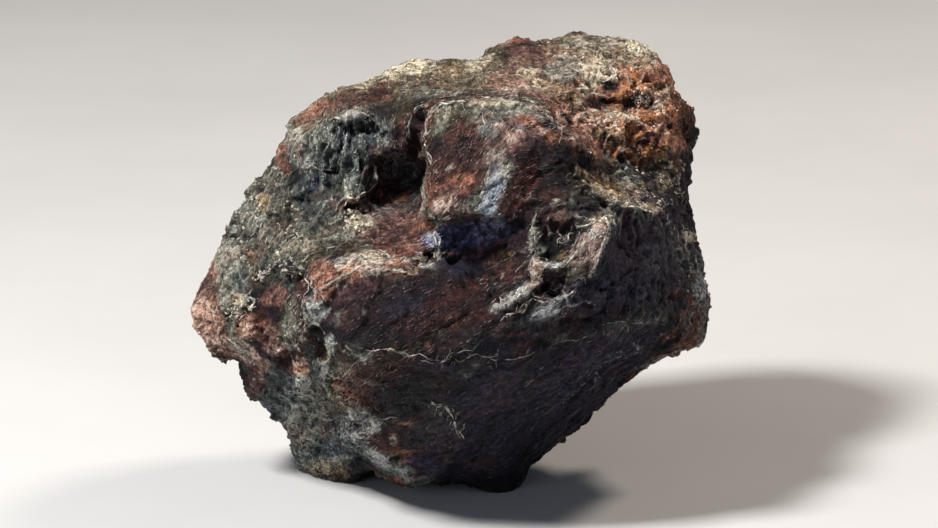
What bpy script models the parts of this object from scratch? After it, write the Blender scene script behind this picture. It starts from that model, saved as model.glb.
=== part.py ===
"""A loose stony meteorite the size of a fist, resting on a broken facet of its underside.

The stone is drawn facing the reader, in millimetres: X to the right, Z up and Y away. Its outline as seen
from there is a closed loop. The crests and valleys inside that loop are lines of (right, up, out) points on
the near side and of (right, up, back) points on the far side. A net of triangles spans each side, and the
two are sewn together along the outline. The net is made one even skin, its creases are worn round and its
surface is roughened. Then the stone is rocked back by REST_TILT, until its broken facet lies flat.
"""

import math

import bmesh
import bpy
import numpy as np
from mathutils import Matrix, Vector, geometry, noise

MM = 0.001  # the scene is in metres

# Driving sizes
REST_TILT = math.radians(15)  # from the drawn pose to the resting pose
SEAT_LEVEL = -34.2 * MM  # height of the broken facet in the resting pose, from the drawn centre
SKIN_STEP = 0.9 * MM  # size of the even skin's squares
WEAR_PASSES = 2  # how often the creases are smoothed
TRIANGLES = 9400  # in the finished surface

# Roughness: (kind, wavelength, height), in millimetres
ROUGHNESS = [("lumps", 12, 1.3), ("swells", 6, 0.6), ("lumps", 4.5, 0.35)]
LEDGE_PITCH = 9  # the stone splits along parallel planes, this far apart
LEDGE_HEIGHT = 0.8
LEDGE_AXIS = Vector((0.45, 0.35, -0.82)).normalized()  # across those planes
NEAR_SIDE_SHARE = 0.3  # of the roughness, on the near side, which its lines already describe

# Outline, clockwise from the left tip, as (right, up, out)
OUTLINE = [
    (-42, -7.5, -3), (-40.5, -3, -3), (-38.5, 1, -3), (-36.5, 5.5, -4), (-35, 8, -5),
    (-33.5, 11.5, -5), (-31.5, 13, -6), (-29.5, 15.5, -6), (-28.5, 19.5, -7), (-26, 22.5, -8),
    (-23.5, 25, -9), (-19, 26.5, -10), (-15, 28, -11), (-12, 30, -12), (-8, 31.5, -14),
    (-3, 31.5, -15), (1, 31.5, -15), (2.5, 33.5, -16), (6.5, 34.5, -17), (12.5, 34, -17),
    (16.5, 35.5, -18), (22.5, 35, -18), (27, 34, -17), (29, 32.5, -16), (30.5, 29.5, -15),
    (31.5, 27, -14), (34, 24, -16), (35, 21.5, -16), (34, 15, -10), (33.5, 9.5, -8),
    (34.5, 3.5, -6), (35, 0.5, -6), (37, -4, -5), (36, -8.5, -6), (35, -12, -7), (30, -14, -8),
    (24.5, -17, -9), (21.5, -20.5, -9), (17.5, -24.5, -8), (14, -27, -8), (10, -30, -8),
    (8.5, -32.5, -6), (6.5, -35, -4), (3, -35, -3), (0, -33.5, -1), (-3, -32.5, 0), (-6.5, -33, 2),
    (-9.5, -33.5, 4), (-12.5, -32, 2), (-15, -31, 0), (-18, -34, -8), (-23, -33, -12),
    (-26.5, -31, -13), (-28, -28.5, -14), (-28, -25.5, -13), (-30.5, -24, -14), (-33, -21.5, -13),
    (-34.5, -18, -12), (-35.5, -15, -10), (-37, -15.5, -4), (-39.5, -13, -2), (-41.5, -10.5, -2),
]

# Crests and valleys of the near side: the net has an edge along each
NEAR_LINES = {
    "slab crest": [
        (-6, 21.5, 22), (-5, 23, 22), (-3, 23.5, 22), (0, 24, 22), (4, 24, 22.5), (7, 24, 22),
        (9.5, 23.5, 22), (11.5, 22, 22), (13.5, 19.5, 23),
    ],
    "plateau front edge": [
        (-10, 24.5, 10), (-7, 24, 14), (-3, 25, 14), (1.5, 25.5, 14), (7.5, 25.5, 13),
        (11, 24.5, 11), (14, 22.5, 8),
    ],
    "slab left edge": [
        (-6, 21.5, 22), (-6.5, 18.5, 22), (-6, 16, 23), (-5.5, 13.5, 24), (-6, 11, 25),
        (-6, 7, 27),
    ],
    "cave right foot": [
        (-7, 21.5, 11), (-7.5, 18.5, 10), (-7, 16, 8), (-6.5, 13.5, 7), (-7, 11, 8), (-7, 8.5, 13),
    ],
    "slot left lip": [(-8.5, 23.5, 15), (-8.5, 20.5, 15), (-9, 17, 13)],
    "curtain brow": [
        (-22.5, 18.5, 12), (-19.5, 22, 12), (-16, 22.5, 13), (-13, 21, 13), (-11, 19.5, 14),
        (-9.5, 21.5, 14),
    ],
    "curtain hem": [
        (-24.5, 14.5, 11), (-22.5, 14, 10), (-19, 14, 10), (-18.5, 10, 14), (-17, 9.5, 14),
        (-15, 11, 12), (-13, 12.5, 10),
    ],
    "ramp": [(-19.5, 8.5, 14), (-18, 6, 17), (-14.5, 5.5, 17), (-11, 5.5, 17), (-8, 6, 19)],
    "ramp foot": [(-20.5, 3.5, 18), (-16.5, 3, 20), (-12.5, 3, 21), (-9, 3, 23)],
    "shelf back": [
        (-24.5, -1, 18), (-22, 1, 20), (-18, 2, 21.5), (-14, 2, 24), (-10, 1, 27), (-6.5, 2, 27),
        (-4, 3.5, 26),
    ],
    "ledge crest": [
        (-23, -3, 23), (-21, -2.5, 26), (-18, -1.5, 28), (-15, -0.5, 29), (-11.5, -0.5, 29.5),
        (-8.5, -0.5, 30), (-5.5, -1, 30), (-3.5, -1.5, 30),
    ],
    "slab lower edge": [
        (-6, 7, 27), (-4, 6.5, 28), (-2.5, 6.5, 28.5), (-0.5, 7, 28.5), (1.5, 7, 28),
        (4, 6.5, 27.5), (5.5, 7.5, 27.5), (7.5, 8, 27),
    ],
    "recess under the slab": [
        (-4, 5.5, 23), (-3, 5, 22), (1, 5.5, 23.5), (4.5, 5.5, 24.5), (7.5, 5.5, 25.5),
    ],
    "ledge crest east": [
        (-3.5, -1.5, 30), (-1.5, -1.5, 29.5), (0, -3, 29), (2.5, -2.5, 29), (3.5, -4, 29.5),
        (5, -5, 30),
    ],
    "web crest": [
        (5, -5.5, 30), (7, -5, 30.5), (8, -4, 30.5), (9, -2.5, 30.5), (9, -0.5, 30.5),
        (9.5, 1, 30.5), (9.5, 3, 29), (9.5, 6, 28),
    ],
    "bowl rim": [
        (10.5, -0.5, 30), (12, 0, 29.5), (14, 0, 29), (15.5, 1, 29), (17, 2.5, 29), (18.5, 4, 29),
        (20, 6, 27),
    ],
    "petal edge": [(20, 6, 27), (20.5, 4.5, 28), (19.5, 2, 29), (18, -1, 29.5), (16, -2, 29)],
    "east of the petal": [(21.5, 3.5, 22), (21, 0.5, 23.5), (19, -2.5, 25)],
    "second bowl rim": [(9, -5, 30.5), (11, -5.5, 30.5), (13, -5, 30), (15, -4, 29)],
    "front face belly": [
        (-18.5, -5, 27), (-14.5, -6, 29), (-8.5, -6.5, 30), (-2.5, -7, 30.5), (1.5, -8, 30.5),
    ],
    "face left edge": [(-23, -3, 23), (-24, -5, 23), (-24, -7.5, 23), (-23.5, -9, 23), (-24, -10.5, 22)],
    "face left corner": [(-22, -9.5, 25), (-21, -11, 26)],
    "lower crest": [
        (-21, -11, 26), (-18, -12, 28), (-13, -12, 28), (-9.5, -13, 28.5), (-6.5, -12.5, 29),
        (-2.5, -12.5, 29.5), (1.5, -13.5, 29), (7.5, -13.5, 28), (10, -12.5, 27), (11, -10, 28),
    ],
    "tongue": [(-27.5, -5.5, 15), (-26, -8, 18), (-25, -11, 18), (-24.5, -8, 19.5), (-25.5, -5.5, 18)],
    "crevice": [
        (-24.5, -14.5, 11), (-24, -17.5, 4), (-23, -20, 1), (-22, -22, -1), (-20, -24, -1),
        (-18, -26.5, 0),
    ],
    "crevice east lip": [
        (-22.5, -14, 19), (-21.5, -17, 16), (-20, -19.5, 14), (-18, -21, 13), (-15.5, -21.5, 15),
    ],
    "keel": [(-18, -27, 4), (-15.5, -27.5, 5), (-13.5, -29, 5), (-11.5, -30.5, 5), (-9, -31.5, 5.5)],
    "pale thread": [(-5.5, -20, 22), (-3.5, -20.5, 21.5), (-2.5, -22.5, 18.5), (-1, -25.5, 14)],
    "east crest": [
        (15.5, -9.5, 27), (19, -10, 24), (22.5, -8.5, 22), (26.5, -8.5, 17), (31.5, -9, 9),
        (34.5, -10, -1),
    ],
    "slab right edge": [
        (13.5, 19.5, 23), (12, 18, 24.5), (10.5, 17.5, 25.5), (8, 16.5, 27), (6.5, 15, 27.5),
        (5.5, 12, 28), (5, 9.5, 28), (5.5, 7.5, 27.5),
    ],
    "east face brow": [(13.5, 19.5, 23), (15.5, 18.5, 21.5), (17.5, 16.5, 20), (19, 14.5, 18)],
    "shoulder root": [(14.5, 21, 6), (18, 19, 5), (20.5, 16.5, 4), (21.5, 14.5, 4)],
    "crag crest": [
        (15.5, 13.5, 20.5), (16.5, 11.5, 21.5), (19, 10.5, 22), (21, 10, 21.5), (23.5, 8.5, 20),
        (26, 7.5, 18), (27.5, 7.5, 14), (29.5, 8, 9),
    ],
    "crag foot": [(19, 8.5, 20), (22, 7.5, 19), (24, 6.5, 16)],
    "cleft": [(25, 7, 11), (25.5, 4.5, 9), (25.5, 2, 11)],
    "shoulder strut": [(23, 29, -4), (24, 27, -3), (27, 25.5, -4), (30, 24, -5)],
    "shoulder shelf": [
        (15.5, 22.5, 5), (18, 22, 4), (20.5, 22.5, 4), (23, 22.5, 3), (26.5, 22, 1),
        (30.5, 22, -3),
    ],
    "shelf front": [(17, 20, 7), (20, 19, 6), (23.5, 20, 4), (27, 20.5, 0)],
}

# Loose points of the near side, each group on one feature
NEAR_SPOTS = {
    "slot floor": [(-7.5, 22, 11), (-8, 18.5, 9), (-8.5, 15.5, 6)],
    "under the brow": [(-17.5, 20, 8), (-15.5, 21, 8), (-13, 19.5, 9)],
    "curtain middle": [(-20.5, 17, 11), (-17.5, 15.5, 13.5), (-14.5, 17, 12), (-11.5, 17, 13)],
    "cave back": [(-12.5, 15, 5), (-10.5, 13.5, 3), (-8.5, 12.5, 4), (-11, 11, 4), (-14.5, 10, 6)],
    "cave floor": [(-17.5, 9, 9), (-14, 9, 8), (-10, 9, 8), (-8, 9, 10)],
    "peg hole": [(-6.5, 1, 25), (-5, 1, 25)],
    "recess floor": [(-4, 1.5, 25), (-1.5, 0.5, 23), (1, -0.5, 23), (3.5, 0.5, 24.5), (6.5, 1.5, 26)],
    "first bowl": [(11, 2, 24), (12.5, 3.5, 23.5), (14, 3, 24), (12, 1, 25)],
    "above the bowl": [(12.5, 6.5, 27), (15.5, 6, 26.5), (18, 7, 25)],
    "second bowl": [(10.5, -3.5, 26), (12.5, -3, 26), (14, -3.5, 26.5), (12, -4.5, 26.5)],
    "crust foot": [(5, -8.5, 29.5), (9, -8, 29), (11.5, -8.5, 28.5), (13.5, -6.5, 28.5), (17, -5, 27)],
    "tongue left": [(-28, -8, 12), (-28, -11, 12), (-26, -12.5, 13)],
    "under the tongue": [(-25, -13, 14), (-27.5, -14.5, 8), (-29.5, -14, 8), (-26.5, -16, 8)],
    "chin hollow": [(-23, -11.5, 18), (-22, -12.5, 19), (-23, -13.5, 15)],
    "knob": [(-25.5, -17, 8), (-24, -17, 9), (-24.5, -18.5, 7)],
    "scratched facet": [
        (-18, -14, 25), (-17.5, -17.5, 21), (-14, -16, 24), (-11, -17, 24), (-7, -17.5, 24),
        (-12.5, -20, 20),
    ],
    "facet foot": [(-14.5, -22.5, 16), (-12.5, -23, 17), (-10, -22.5, 18), (-8, -21.5, 19)],
    "ochre step": [(-20, -22, 8), (-18.5, -24, 8), (-17, -23, 11)],
    "blue step": [(-18.5, -25.5, 7), (-16.5, -25, 9), (-14.5, -25.5, 11), (-13, -24, 13)],
    "keel east": [(-11, -26, 11), (-8, -26.5, 12), (-7.5, -30, 8), (-4.5, -29.5, 8)],
    "underside": [
        (0, -20, 22), (4.5, -18.5, 22), (9.5, -17, 20), (1.5, -24.5, 13), (0, -29, 7),
        (4.5, -31, 2),
    ],
    "underside east": [
        (7.5, -22.5, 12), (11, -21, 12), (13.5, -17, 17), (18, -14, 17), (19.5, -16, 10),
        (17.5, -19.5, 6), (13, -24, 1),
    ],
    "east underside": [(22.5, -13.5, 12), (26, -13, 8), (31, -12, 2)],
    "east face": [(11, 13.5, 25.5), (13, 15, 24), (16, 14.5, 20.5), (12, 10, 26), (14, 8, 26)],
    "crag cave": [(20, 13, 8), (22, 13.5, 5), (24.5, 12.5, 5)],
    "crag back": [(23, 12, 11), (26, 11, 8), (27.5, 9.5, 7)],
    "beads": [(28.5, 14, -1), (31, 13, -3), (32.5, 11.5, -5), (29.5, 10.5, 3), (31.5, 8, 0)],
    "east of the cleft": [(26.5, 6, 15), (27, 3.5, 15), (29, 4.5, 11), (31.5, 3.5, 4)],
    "east flank": [
        (23, 0, 22), (25, -3, 20), (27.5, 0.5, 17), (29.5, -3, 12), (33, -1, 4), (34, -4.5, 2),
        (20.5, -5, 25),
    ],
    "shoulder top": [(4.5, 29.5, -6), (9.5, 30.5, -9), (14, 32, -12), (20, 32.5, -13), (26, 32, -12)],
    "shoulder face": [
        (16, 28.5, -4), (17.5, 26, 0), (20, 30, -7), (23, 30.5, -8), (28, 29.5, -8), (30, 26, -8),
    ],
    "shoulder cave": [
        (18.5, 26.5, -6), (20, 25, -9), (21.5, 25, -8), (24, 25, -9), (26, 24, -9), (21, 28.5, -8),
    ],
    "dark band": [(26, 19.5, -5), (28, 18.5, -6), (30, 19.5, -7), (28, 17, -5)],
    "shoulder foot": [(21.5, 17, 5), (23.5, 16.5, 4), (26, 15, 0), (31.5, 17.5, -7), (32.5, 20.5, -12)],
    "top lumps": [(-12, 28.5, -6), (-7.5, 29.5, -8), (-4.5, 28, -4), (-1.5, 29, -7)],
    "plateau": [(-6, 26.5, 4), (0, 27, 3), (6, 27.5, 2), (10.5, 27, 0)],
    "brow slope": [
        (-22, 23.5, 0), (-18, 25, 0), (-14, 26, 1), (-12.5, 24, 6), (-17.5, 23, 6), (-21.5, 21, 4),
    ],
    "west slope": [
        (-26, 19.5, 2), (-26.5, 15.5, 4), (-24.5, 17, 7), (-29, 12, 3), (-25, 11, 10),
        (-22, 11, 11), (-31, 9, 1), (-27.5, 7.5, 7),
    ],
    "west pits": [(-29, 6.5, 4), (-27.5, 6.5, 6), (-31, 6, 4), (-25, 7, 11), (-22.5, 7, 13)],
    "west belt": [(-32.5, 3, 3), (-29.5, 3, 8), (-26.5, 2.5, 12), (-23.5, 3, 15), (-34.5, 5, 0)],
    "west lower": [
        (-31.5, -1.5, 7), (-28.5, -2.5, 10), (-28, 0, 12), (-33.5, 0.5, 5), (-26.5, -1.5, 13),
        (-25, -3, 14), (-35.5, -3, 3), (-37, 0.5, 0),
    ],
    "nose": [
        (-38, -5.5, 3), (-35.5, -5.5, 6), (-33, -6, 9), (-35, -9, 4), (-36, -10.5, 4),
        (-38.5, -10.5, 2), (-33, -10, 9), (-30, -5.5, 10), (-30.5, -9, 10),
    ],
    "nose underside": [
        (-35.5, -12.5, 2), (-32.5, -13, 4), (-30, -13, 8), (-31, -14.5, 4), (-29, -16.5, 4),
        (-26.5, -18.5, 4),
    ],
    "foot brow": [(-33, -16.5, -8), (-31, -18, -6), (-28, -20, -4), (-25.5, -21, -3)],
    "foot": [
        (-31.5, -20.5, -9), (-27, -23.5, -6), (-24, -24.5, -4), (-21, -26.5, -4), (-25.5, -28, -8),
        (-21, -30.5, -6), (-18, -30, -4), (-18.5, -32, -6),
    ],
}

# Crests and valleys of the far side, as (right, up, back)
FAR_LINES = {
    "top crest": [
        (-23, 17, 20), (-15, 21, 24.5), (-6, 23, 27), (3, 24.5, 28), (12, 25, 29.5), (20, 21, 30),
        (25.5, 15, 26),
    ],
    "under the crest": [(-13, 17, 25), (-4, 18, 28), (5, 18.5, 29.5), (14, 17, 30.5)],
    "step": [
        (-29, 5, 16), (-22, 8, 22.5), (-13, 9, 28), (-3, 7, 31), (5, 8, 33.5), (13, 9.5, 33.5),
        (20, 6, 30), (27, 3, 24),
    ],
    "foot of the step": [(-20, 4, 20.5), (-12, 4, 25.5), (-3, 2.5, 28), (6, 3.5, 30), (13, 4.5, 30.5)],
    "belly": [
        (-29, -6, 15), (-21, -5, 22.5), (-12, -5.5, 28.5), (-2, -7.5, 31), (7, -6, 32), (16, -5, 29),
        (25, -6, 22),
    ],
    "hollow": [(-17, -12, 24.5), (-9, -13, 27), (-1, -14, 28.5), (8, -13, 28.5), (15, -12, 25.5)],
    "heel": [(-25, -24, 16), (-18, -22, 24), (-9, -21.5, 28.5), (1, -22, 30), (8, -21, 27), (13, -19, 22)],
    "back of the broken facet": [
        (-22, -29.2, 23.5), (-15, -29.2, 25.5), (-6, -29, 26.5), (2, -29.1, 26), (8, -29.8, 23),
    ],
}

FAR_SPOTS = {
    "broken facet": [
        (-21, -32.8, 12.5), (-24, -31.8, 15.5), (-9.5, -32.8, 12.5), (4.5, -34, 8), (-16, -30.6, 20.5),
        (-9, -31.2, 18), (-3, -31.6, 17), (3, -31.8, 16), (7.5, -31.5, 17), (-21, -30.8, 19.5),
    ],
    "pits": [(-6, 13.5, 25), (-5, 12, 25.5), (17, 0.5, 26), (18.5, -0.5, 25.5), (-24, -13, 21)],
    "west face": [(-33, 0, 12), (-30, 12, 12), (-34, -8, 12), (-29, -15, 18), (-30, -20, 18)],
    "east face": [(32, 2, 14), (31, 12, 17), (30, -9, 14), (22, -14, 16), (17, -20, 14)],
}

# Points that round the far side off from the outline: (share of its radius, millimetres back)
SHOULDERS = [(0.955, 6), (0.87, 13)]
SHOULDERS_ABOVE = -20  # none below this height, where the heel and the broken facet are


def shoulder_points():
    """Rows of points a little inside the outline, on the far side."""
    made = []
    for share, depth in SHOULDERS:
        for x, z, out in OUTLINE[::2]:
            if z > SHOULDERS_ABOVE:
                made.append((x * share, z * share, depth - out))
    return made


def net(outline, lines, spots):
    """Points and triangles of one side, its outline's points first. Each line is kept as edges."""
    points = list(outline)
    edges = []
    for line in lines:
        for point in line:
            if point not in points:
                points.append(point)
        places = [points.index(point) for point in line]
        edges += list(zip(places, places[1:]))
    points += spots
    loop = [list(range(len(outline)))]
    flat = [Vector(point[:2]) for point in points]
    inside = 1  # keeps what the outline encloses
    _, _, triangles, sources, _, _ = geometry.delaunay_2d_cdt(flat, edges, loop, inside, 1e-5)
    return points, [[sources[corner][0] for corner in triangle] for triangle in triangles]


def sewn_net():
    """The near and far sides as one closed mesh, drawn in metres."""
    far_outline = [(x, z, -out) for x, z, out in OUTLINE]
    near_spots = [point for group in NEAR_SPOTS.values() for point in group]
    far_spots = [point for group in FAR_SPOTS.values() for point in group] + shoulder_points()
    near_points, near_triangles = net(OUTLINE, NEAR_LINES.values(), near_spots)
    far_points, far_triangles = net(far_outline, FAR_LINES.values(), far_spots)
    mesh = bmesh.new()
    near = [mesh.verts.new(Vector((x, -out, z)) * MM) for x, z, out in near_points]
    rim = near[: len(OUTLINE)]
    far = rim + [mesh.verts.new(Vector((x, back, z)) * MM) for x, z, back in far_points[len(OUTLINE):]]
    for corners, triangles in ((near, near_triangles), (far, far_triangles)):
        for triangle in triangles:
            mesh.faces.new([corners[place] for place in triangle])
    bmesh.ops.recalc_face_normals(mesh, faces=mesh.faces)
    return mesh


def work_in_modifiers(stone):
    """Replaces the stone's mesh by the one that its modifiers make, and drops them."""
    graph = bpy.context.evaluated_depsgraph_get()
    mesh = bpy.data.meshes.new_from_object(stone.evaluated_get(graph))
    stone.modifiers.clear()
    stone.data = mesh


def make_even_skin(stone):
    """One skin of small squares over the net, its creases worn round."""
    skin = stone.modifiers.new("skin", "REMESH")
    skin.mode = "VOXEL"
    skin.voxel_size = SKIN_STEP
    wear = stone.modifiers.new("wear", "SMOOTH")
    wear.factor = 0.5
    wear.iterations = WEAR_PASSES
    work_in_modifiers(stone)


def lump(where):
    """From -1 in the creases between lumps to about 1 on top of them."""
    distances = noise.voronoi(where)[0]
    return min((distances[1] - distances[0]) * 2.2, 1.6) - 0.7


def ledge(where):
    """A worn saw-tooth across the splitting planes, from -1 to 1."""
    height = where.dot(LEDGE_AXIS) / LEDGE_PITCH + 0.9 * noise.noise(where / 19)
    share = height - math.floor(height)
    tooth = share / 0.8 if share < 0.8 else (1 - share) / 0.2
    return 2 * tooth - 1


def relief(where):
    """How far the surface stands out at a point, in millimetres, where the roughness is whole."""
    lift = LEDGE_HEIGHT * ledge(where) * max(0.0, 0.5 + noise.noise(where / 13 + Vector((5, 5, 5))))
    for kind, wavelength, height in ROUGHNESS:
        scaled = where / wavelength + Vector((wavelength, 2, 7))
        lift += height * (lump(scaled) if kind == "lumps" else noise.noise(scaled))
    return lift


def roughen(stone):
    """Moves each point along its normal by the relief, less of it on the near side and the outline."""
    count = len(stone.data.vertices)
    places = np.empty(count * 3, np.float32)
    normals = np.empty(count * 3, np.float32)
    stone.data.vertices.foreach_get("co", places)
    stone.data.vertex_normals.foreach_get("vector", normals)
    places = places.reshape(-1, 3)
    normals = normals.reshape(-1, 3)
    turned = np.clip((normals[:, 1] - 0.3) / 0.4, 0, 1)  # 0 up to the outline, 1 on the far side
    share = NEAR_SIDE_SHARE + (1 - NEAR_SIDE_SHARE) * turned * turned * (3 - 2 * turned)
    lift = np.array([relief(Vector(place) / MM) for place in places]) * MM
    moved = places + normals * (lift * share)[:, None]
    stone.data.vertices.foreach_set("co", moved.astype(np.float32).ravel())
    stone.data.update()


def simplify(stone):
    """Fewer, larger triangles, which keep the crests."""
    decimate = stone.modifiers.new("simplify", "DECIMATE")
    decimate.ratio = TRIANGLES / (2 * len(stone.data.polygons))  # the skin is of squares
    decimate.use_collapse_triangulate = True
    work_in_modifiers(stone)


def set_down(stone):
    """Rocks the stone back, cuts its broken facet flat, and puts the origin under the middle of its box."""
    mesh = bmesh.new()
    mesh.from_mesh(stone.data)
    mesh.transform(Matrix.Rotation(-REST_TILT, 4, "X"))
    whole = mesh.verts[:] + mesh.edges[:] + mesh.faces[:]
    seat = Vector((0, 0, SEAT_LEVEL))
    cut = bmesh.ops.bisect_plane(mesh, geom=whole, plane_co=seat, plane_no=(0, 0, -1), clear_outer=True)
    edges = [item for item in cut["geom_cut"] if isinstance(item, bmesh.types.BMEdge)]
    bmesh.ops.holes_fill(mesh, edges=edges)
    bmesh.ops.triangulate(mesh, faces=[face for face in mesh.faces if len(face.verts) > 3])
    corners = np.array([vertex.co for vertex in mesh.verts])
    middle = (corners.min(axis=0) + corners.max(axis=0)) / 2
    mesh.transform(Matrix.Translation((-middle[0], -middle[1], -SEAT_LEVEL)))
    mesh.to_mesh(stone.data)
    mesh.free()


def weathered_basalt():
    """Near-black basalt, rusted to a dull red-brown."""
    material = bpy.data.materials.new("weathered_basalt")
    material.use_nodes = True
    surface = material.node_tree.nodes["Principled BSDF"]
    surface.inputs["Base Color"].default_value = (0.075, 0.05, 0.042, 1)
    surface.inputs["Roughness"].default_value = 0.7
    surface.inputs["Metallic"].default_value = 0
    return material


def main():
    for old in list(bpy.data.objects):
        bpy.data.objects.remove(old)
    collection = bpy.data.collections.new("martian_meteorite")
    bpy.context.scene.collection.children.link(collection)
    stone = bpy.data.objects.new("meteorite", bpy.data.meshes.new("meteorite"))
    collection.objects.link(stone)
    mesh = sewn_net()
    mesh.to_mesh(stone.data)
    mesh.free()
    make_even_skin(stone)
    roughen(stone)
    simplify(stone)
    set_down(stone)
    stone.data.materials.clear()
    stone.data.materials.append(weathered_basalt())


main()
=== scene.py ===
import math

import bmesh
import bpy
import numpy as np
from mathutils import Matrix, Vector
from mathutils.bvhtree import BVHTree


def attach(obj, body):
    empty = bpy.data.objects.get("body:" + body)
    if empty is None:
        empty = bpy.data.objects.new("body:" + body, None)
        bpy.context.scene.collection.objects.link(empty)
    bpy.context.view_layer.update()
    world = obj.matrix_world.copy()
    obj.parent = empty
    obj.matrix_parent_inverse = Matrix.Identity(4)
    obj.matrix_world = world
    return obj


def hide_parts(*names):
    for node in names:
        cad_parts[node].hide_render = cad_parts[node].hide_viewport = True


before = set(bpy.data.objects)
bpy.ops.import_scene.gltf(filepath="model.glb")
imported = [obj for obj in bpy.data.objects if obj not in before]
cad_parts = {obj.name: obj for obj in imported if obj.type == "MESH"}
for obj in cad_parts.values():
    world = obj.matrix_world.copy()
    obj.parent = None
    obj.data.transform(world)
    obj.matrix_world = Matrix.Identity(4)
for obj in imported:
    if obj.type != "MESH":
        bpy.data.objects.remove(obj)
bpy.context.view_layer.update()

mm = 0.001
scene = bpy.context.scene


# The shot: camera and soft lamps

shot = {
    "centre": (0.00269, -0.00291, 0.0342),  # the point of the stone that the camera looks at
    "elevation": 15,
    "distance": 0.8,
    "fieldWidth": 0.1407,  # metres across the frame at that distance
    "sensor": 36,
    "frameWidth": 938,
    "frameHeight": 528,
}

lamps = {
    # name: (azimuth from the camera, elevation, power, size, colour)
    "key": (-60, 55, 7.2, 0.10, (1.0, 0.98, 0.95)),
    "rim": (125, 48, 2.6, 0.10, (1.0, 0.86, 0.74)),
    "fill": (-35, 6, 0.95, 0.4, (0.80, 0.88, 1.0)),
    "bounce": (48, 3, 0.75, 0.4, (0.66, 0.76, 1.0)),
}
lampDistance = 0.6
skyColour = (0.75, 0.82, 0.9, 1)
skyStrength = 0.10


def direction(azimuth, elevation):
    a = math.radians(azimuth)
    e = math.radians(elevation)
    return Vector((math.sin(a) * math.cos(e), -math.cos(a) * math.cos(e), math.sin(e)))


def lookAt(thing, place, aim):
    thing.location = place
    thing.rotation_euler = (aim - place).to_track_quat("-Z", "Y").to_euler()


def setShot():
    centre = Vector(shot["centre"])
    camera = bpy.data.objects.new("camera", bpy.data.cameras.new("camera"))
    scene.collection.objects.link(camera)
    camera.data.sensor_width = shot["sensor"]
    camera.data.lens = shot["sensor"] * shot["distance"] / shot["fieldWidth"]
    lookAt(camera, centre + direction(0, shot["elevation"]) * shot["distance"], centre)
    scene.camera = camera
    for name, (azimuth, elevation, power, size, colour) in lamps.items():
        lamp = bpy.data.objects.new(name, bpy.data.lights.new(name, "AREA"))
        scene.collection.objects.link(lamp)
        lamp.data.energy = power
        lamp.data.size = size
        lamp.data.color = colour
        lookAt(lamp, centre + direction(azimuth, elevation) * lampDistance, centre)
    world = bpy.data.worlds.new("studio")
    world.use_nodes = True
    sky = world.node_tree.nodes["Background"].inputs
    sky["Color"].default_value = skyColour
    sky["Strength"].default_value = skyStrength
    scene.world = world
    scene.view_settings.view_transform = "Standard"


setShot()
print("shot set")


# The drawn pose: the stone as the camera sees it, in millimetres right, up and out

toDrawn = np.array(Matrix.Rotation(math.radians(shot["elevation"]), 3, "X"))
pixelsPerMm = shot["frameWidth"] * mm / shot["fieldWidth"]
frameMiddle = (shot["frameWidth"] / 2, shot["frameHeight"] / 2)


def drawnPlaces(places):
    turned = (places - np.array(shot["centre"])) @ toDrawn.T / mm
    return np.stack([turned[:, 0], turned[:, 2], -turned[:, 1]], axis=1)


def framePlaces(drawn):
    scale = pixelsPerMm * shot["distance"] / (shot["distance"] - drawn[:, 2] * mm)
    across = frameMiddle[0] + drawn[:, 0] * scale
    down = frameMiddle[1] - drawn[:, 1] * scale
    return np.stack([across, down], axis=1)


# Noise, for the relief and for where the colours lie

blockSize = 65536  # points worked out at a time
seedShift = np.array((17.31, 5.77, 29.13))
seedSpan = 251  # how far a seed may shift the places, so that single precision stays fine enough
facetTilt = 0.8  # how steeply the broken faces lean
shuffler = np.random.default_rng(12)
shuffled = np.tile(shuffler.permutation(256), 3).astype(np.int32)
slopes = shuffler.normal(size=(3, 256)).astype(np.float32)
slopes /= np.linalg.norm(slopes, axis=0) * 0.72  # a little steeper than 1, so that the noise fills its range
jitters = shuffler.uniform(-0.45, 0.45, (3, 256)).astype(np.float32)


def cellsOf(places):
    # the cell that each place is in, its place in that cell and the cell's number each way
    places = places.T.copy()
    cell = np.floor(places)
    return places - cell, cell.astype(np.int32) & 255


def noiseBlock(places):
    part, (x, y, z) = cellsOf(places)
    fade = part * part * part * (part * (part * 6 - 15) + 10)
    total = np.zeros(len(x), np.float32)
    for i in (0, 1):
        weightX = fade[0] if i else 1 - fade[0]
        first = shuffled[x + i] + y
        for j in (0, 1):
            weightXY = weightX * (fade[1] if j else 1 - fade[1])
            second = shuffled[first + j] + z
            for k in (0, 1):
                weight = weightXY * (fade[2] if k else 1 - fade[2])
                key = shuffled[second + k]
                total += weight * (slopes[0][key] * (part[0] - i) + slopes[1][key] * (part[1] - j)
                                   + slopes[2][key] * (part[2] - k))
    return total


def facetBlock(places):
    part, (x, y, z) = cellsOf(places)
    nearest = np.full(len(x), 9.0, np.float32)
    height = np.zeros(len(x), np.float32)
    for i in (-1, 0, 1):
        first = shuffled[x + i + 1] + y
        for j in (-1, 0, 1):
            second = shuffled[first + j + 1] + z
            for k in (-1, 0, 1):
                key = shuffled[second + k + 1]
                away = [part[axis] - offset - 0.5 - jitters[axis][key]
                        for axis, offset in enumerate((i, j, k))]
                apart = away[0] * away[0] + away[1] * away[1] + away[2] * away[2]
                lean = slopes[0][key] * away[0] + slopes[1][key] * away[1] + slopes[2][key] * away[2]
                closer = apart < nearest
                nearest = np.where(closer, apart, nearest)
                height = np.where(closer, facetTilt * lean + 0.5 * jitters[1][key], height)
    return height


def inBlocks(work, places):
    places = places.astype(np.float32)
    starts = range(0, len(places), blockSize)
    return np.concatenate([work(places[start:start + blockSize]) for start in starts])


def noiseAt(places, seed):
    # gradient noise, mostly within 0.5 either way, with one lump for each unit of length
    return inBlocks(noiseBlock, places + seed * seedShift % seedSpan).astype(np.float64)


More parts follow.
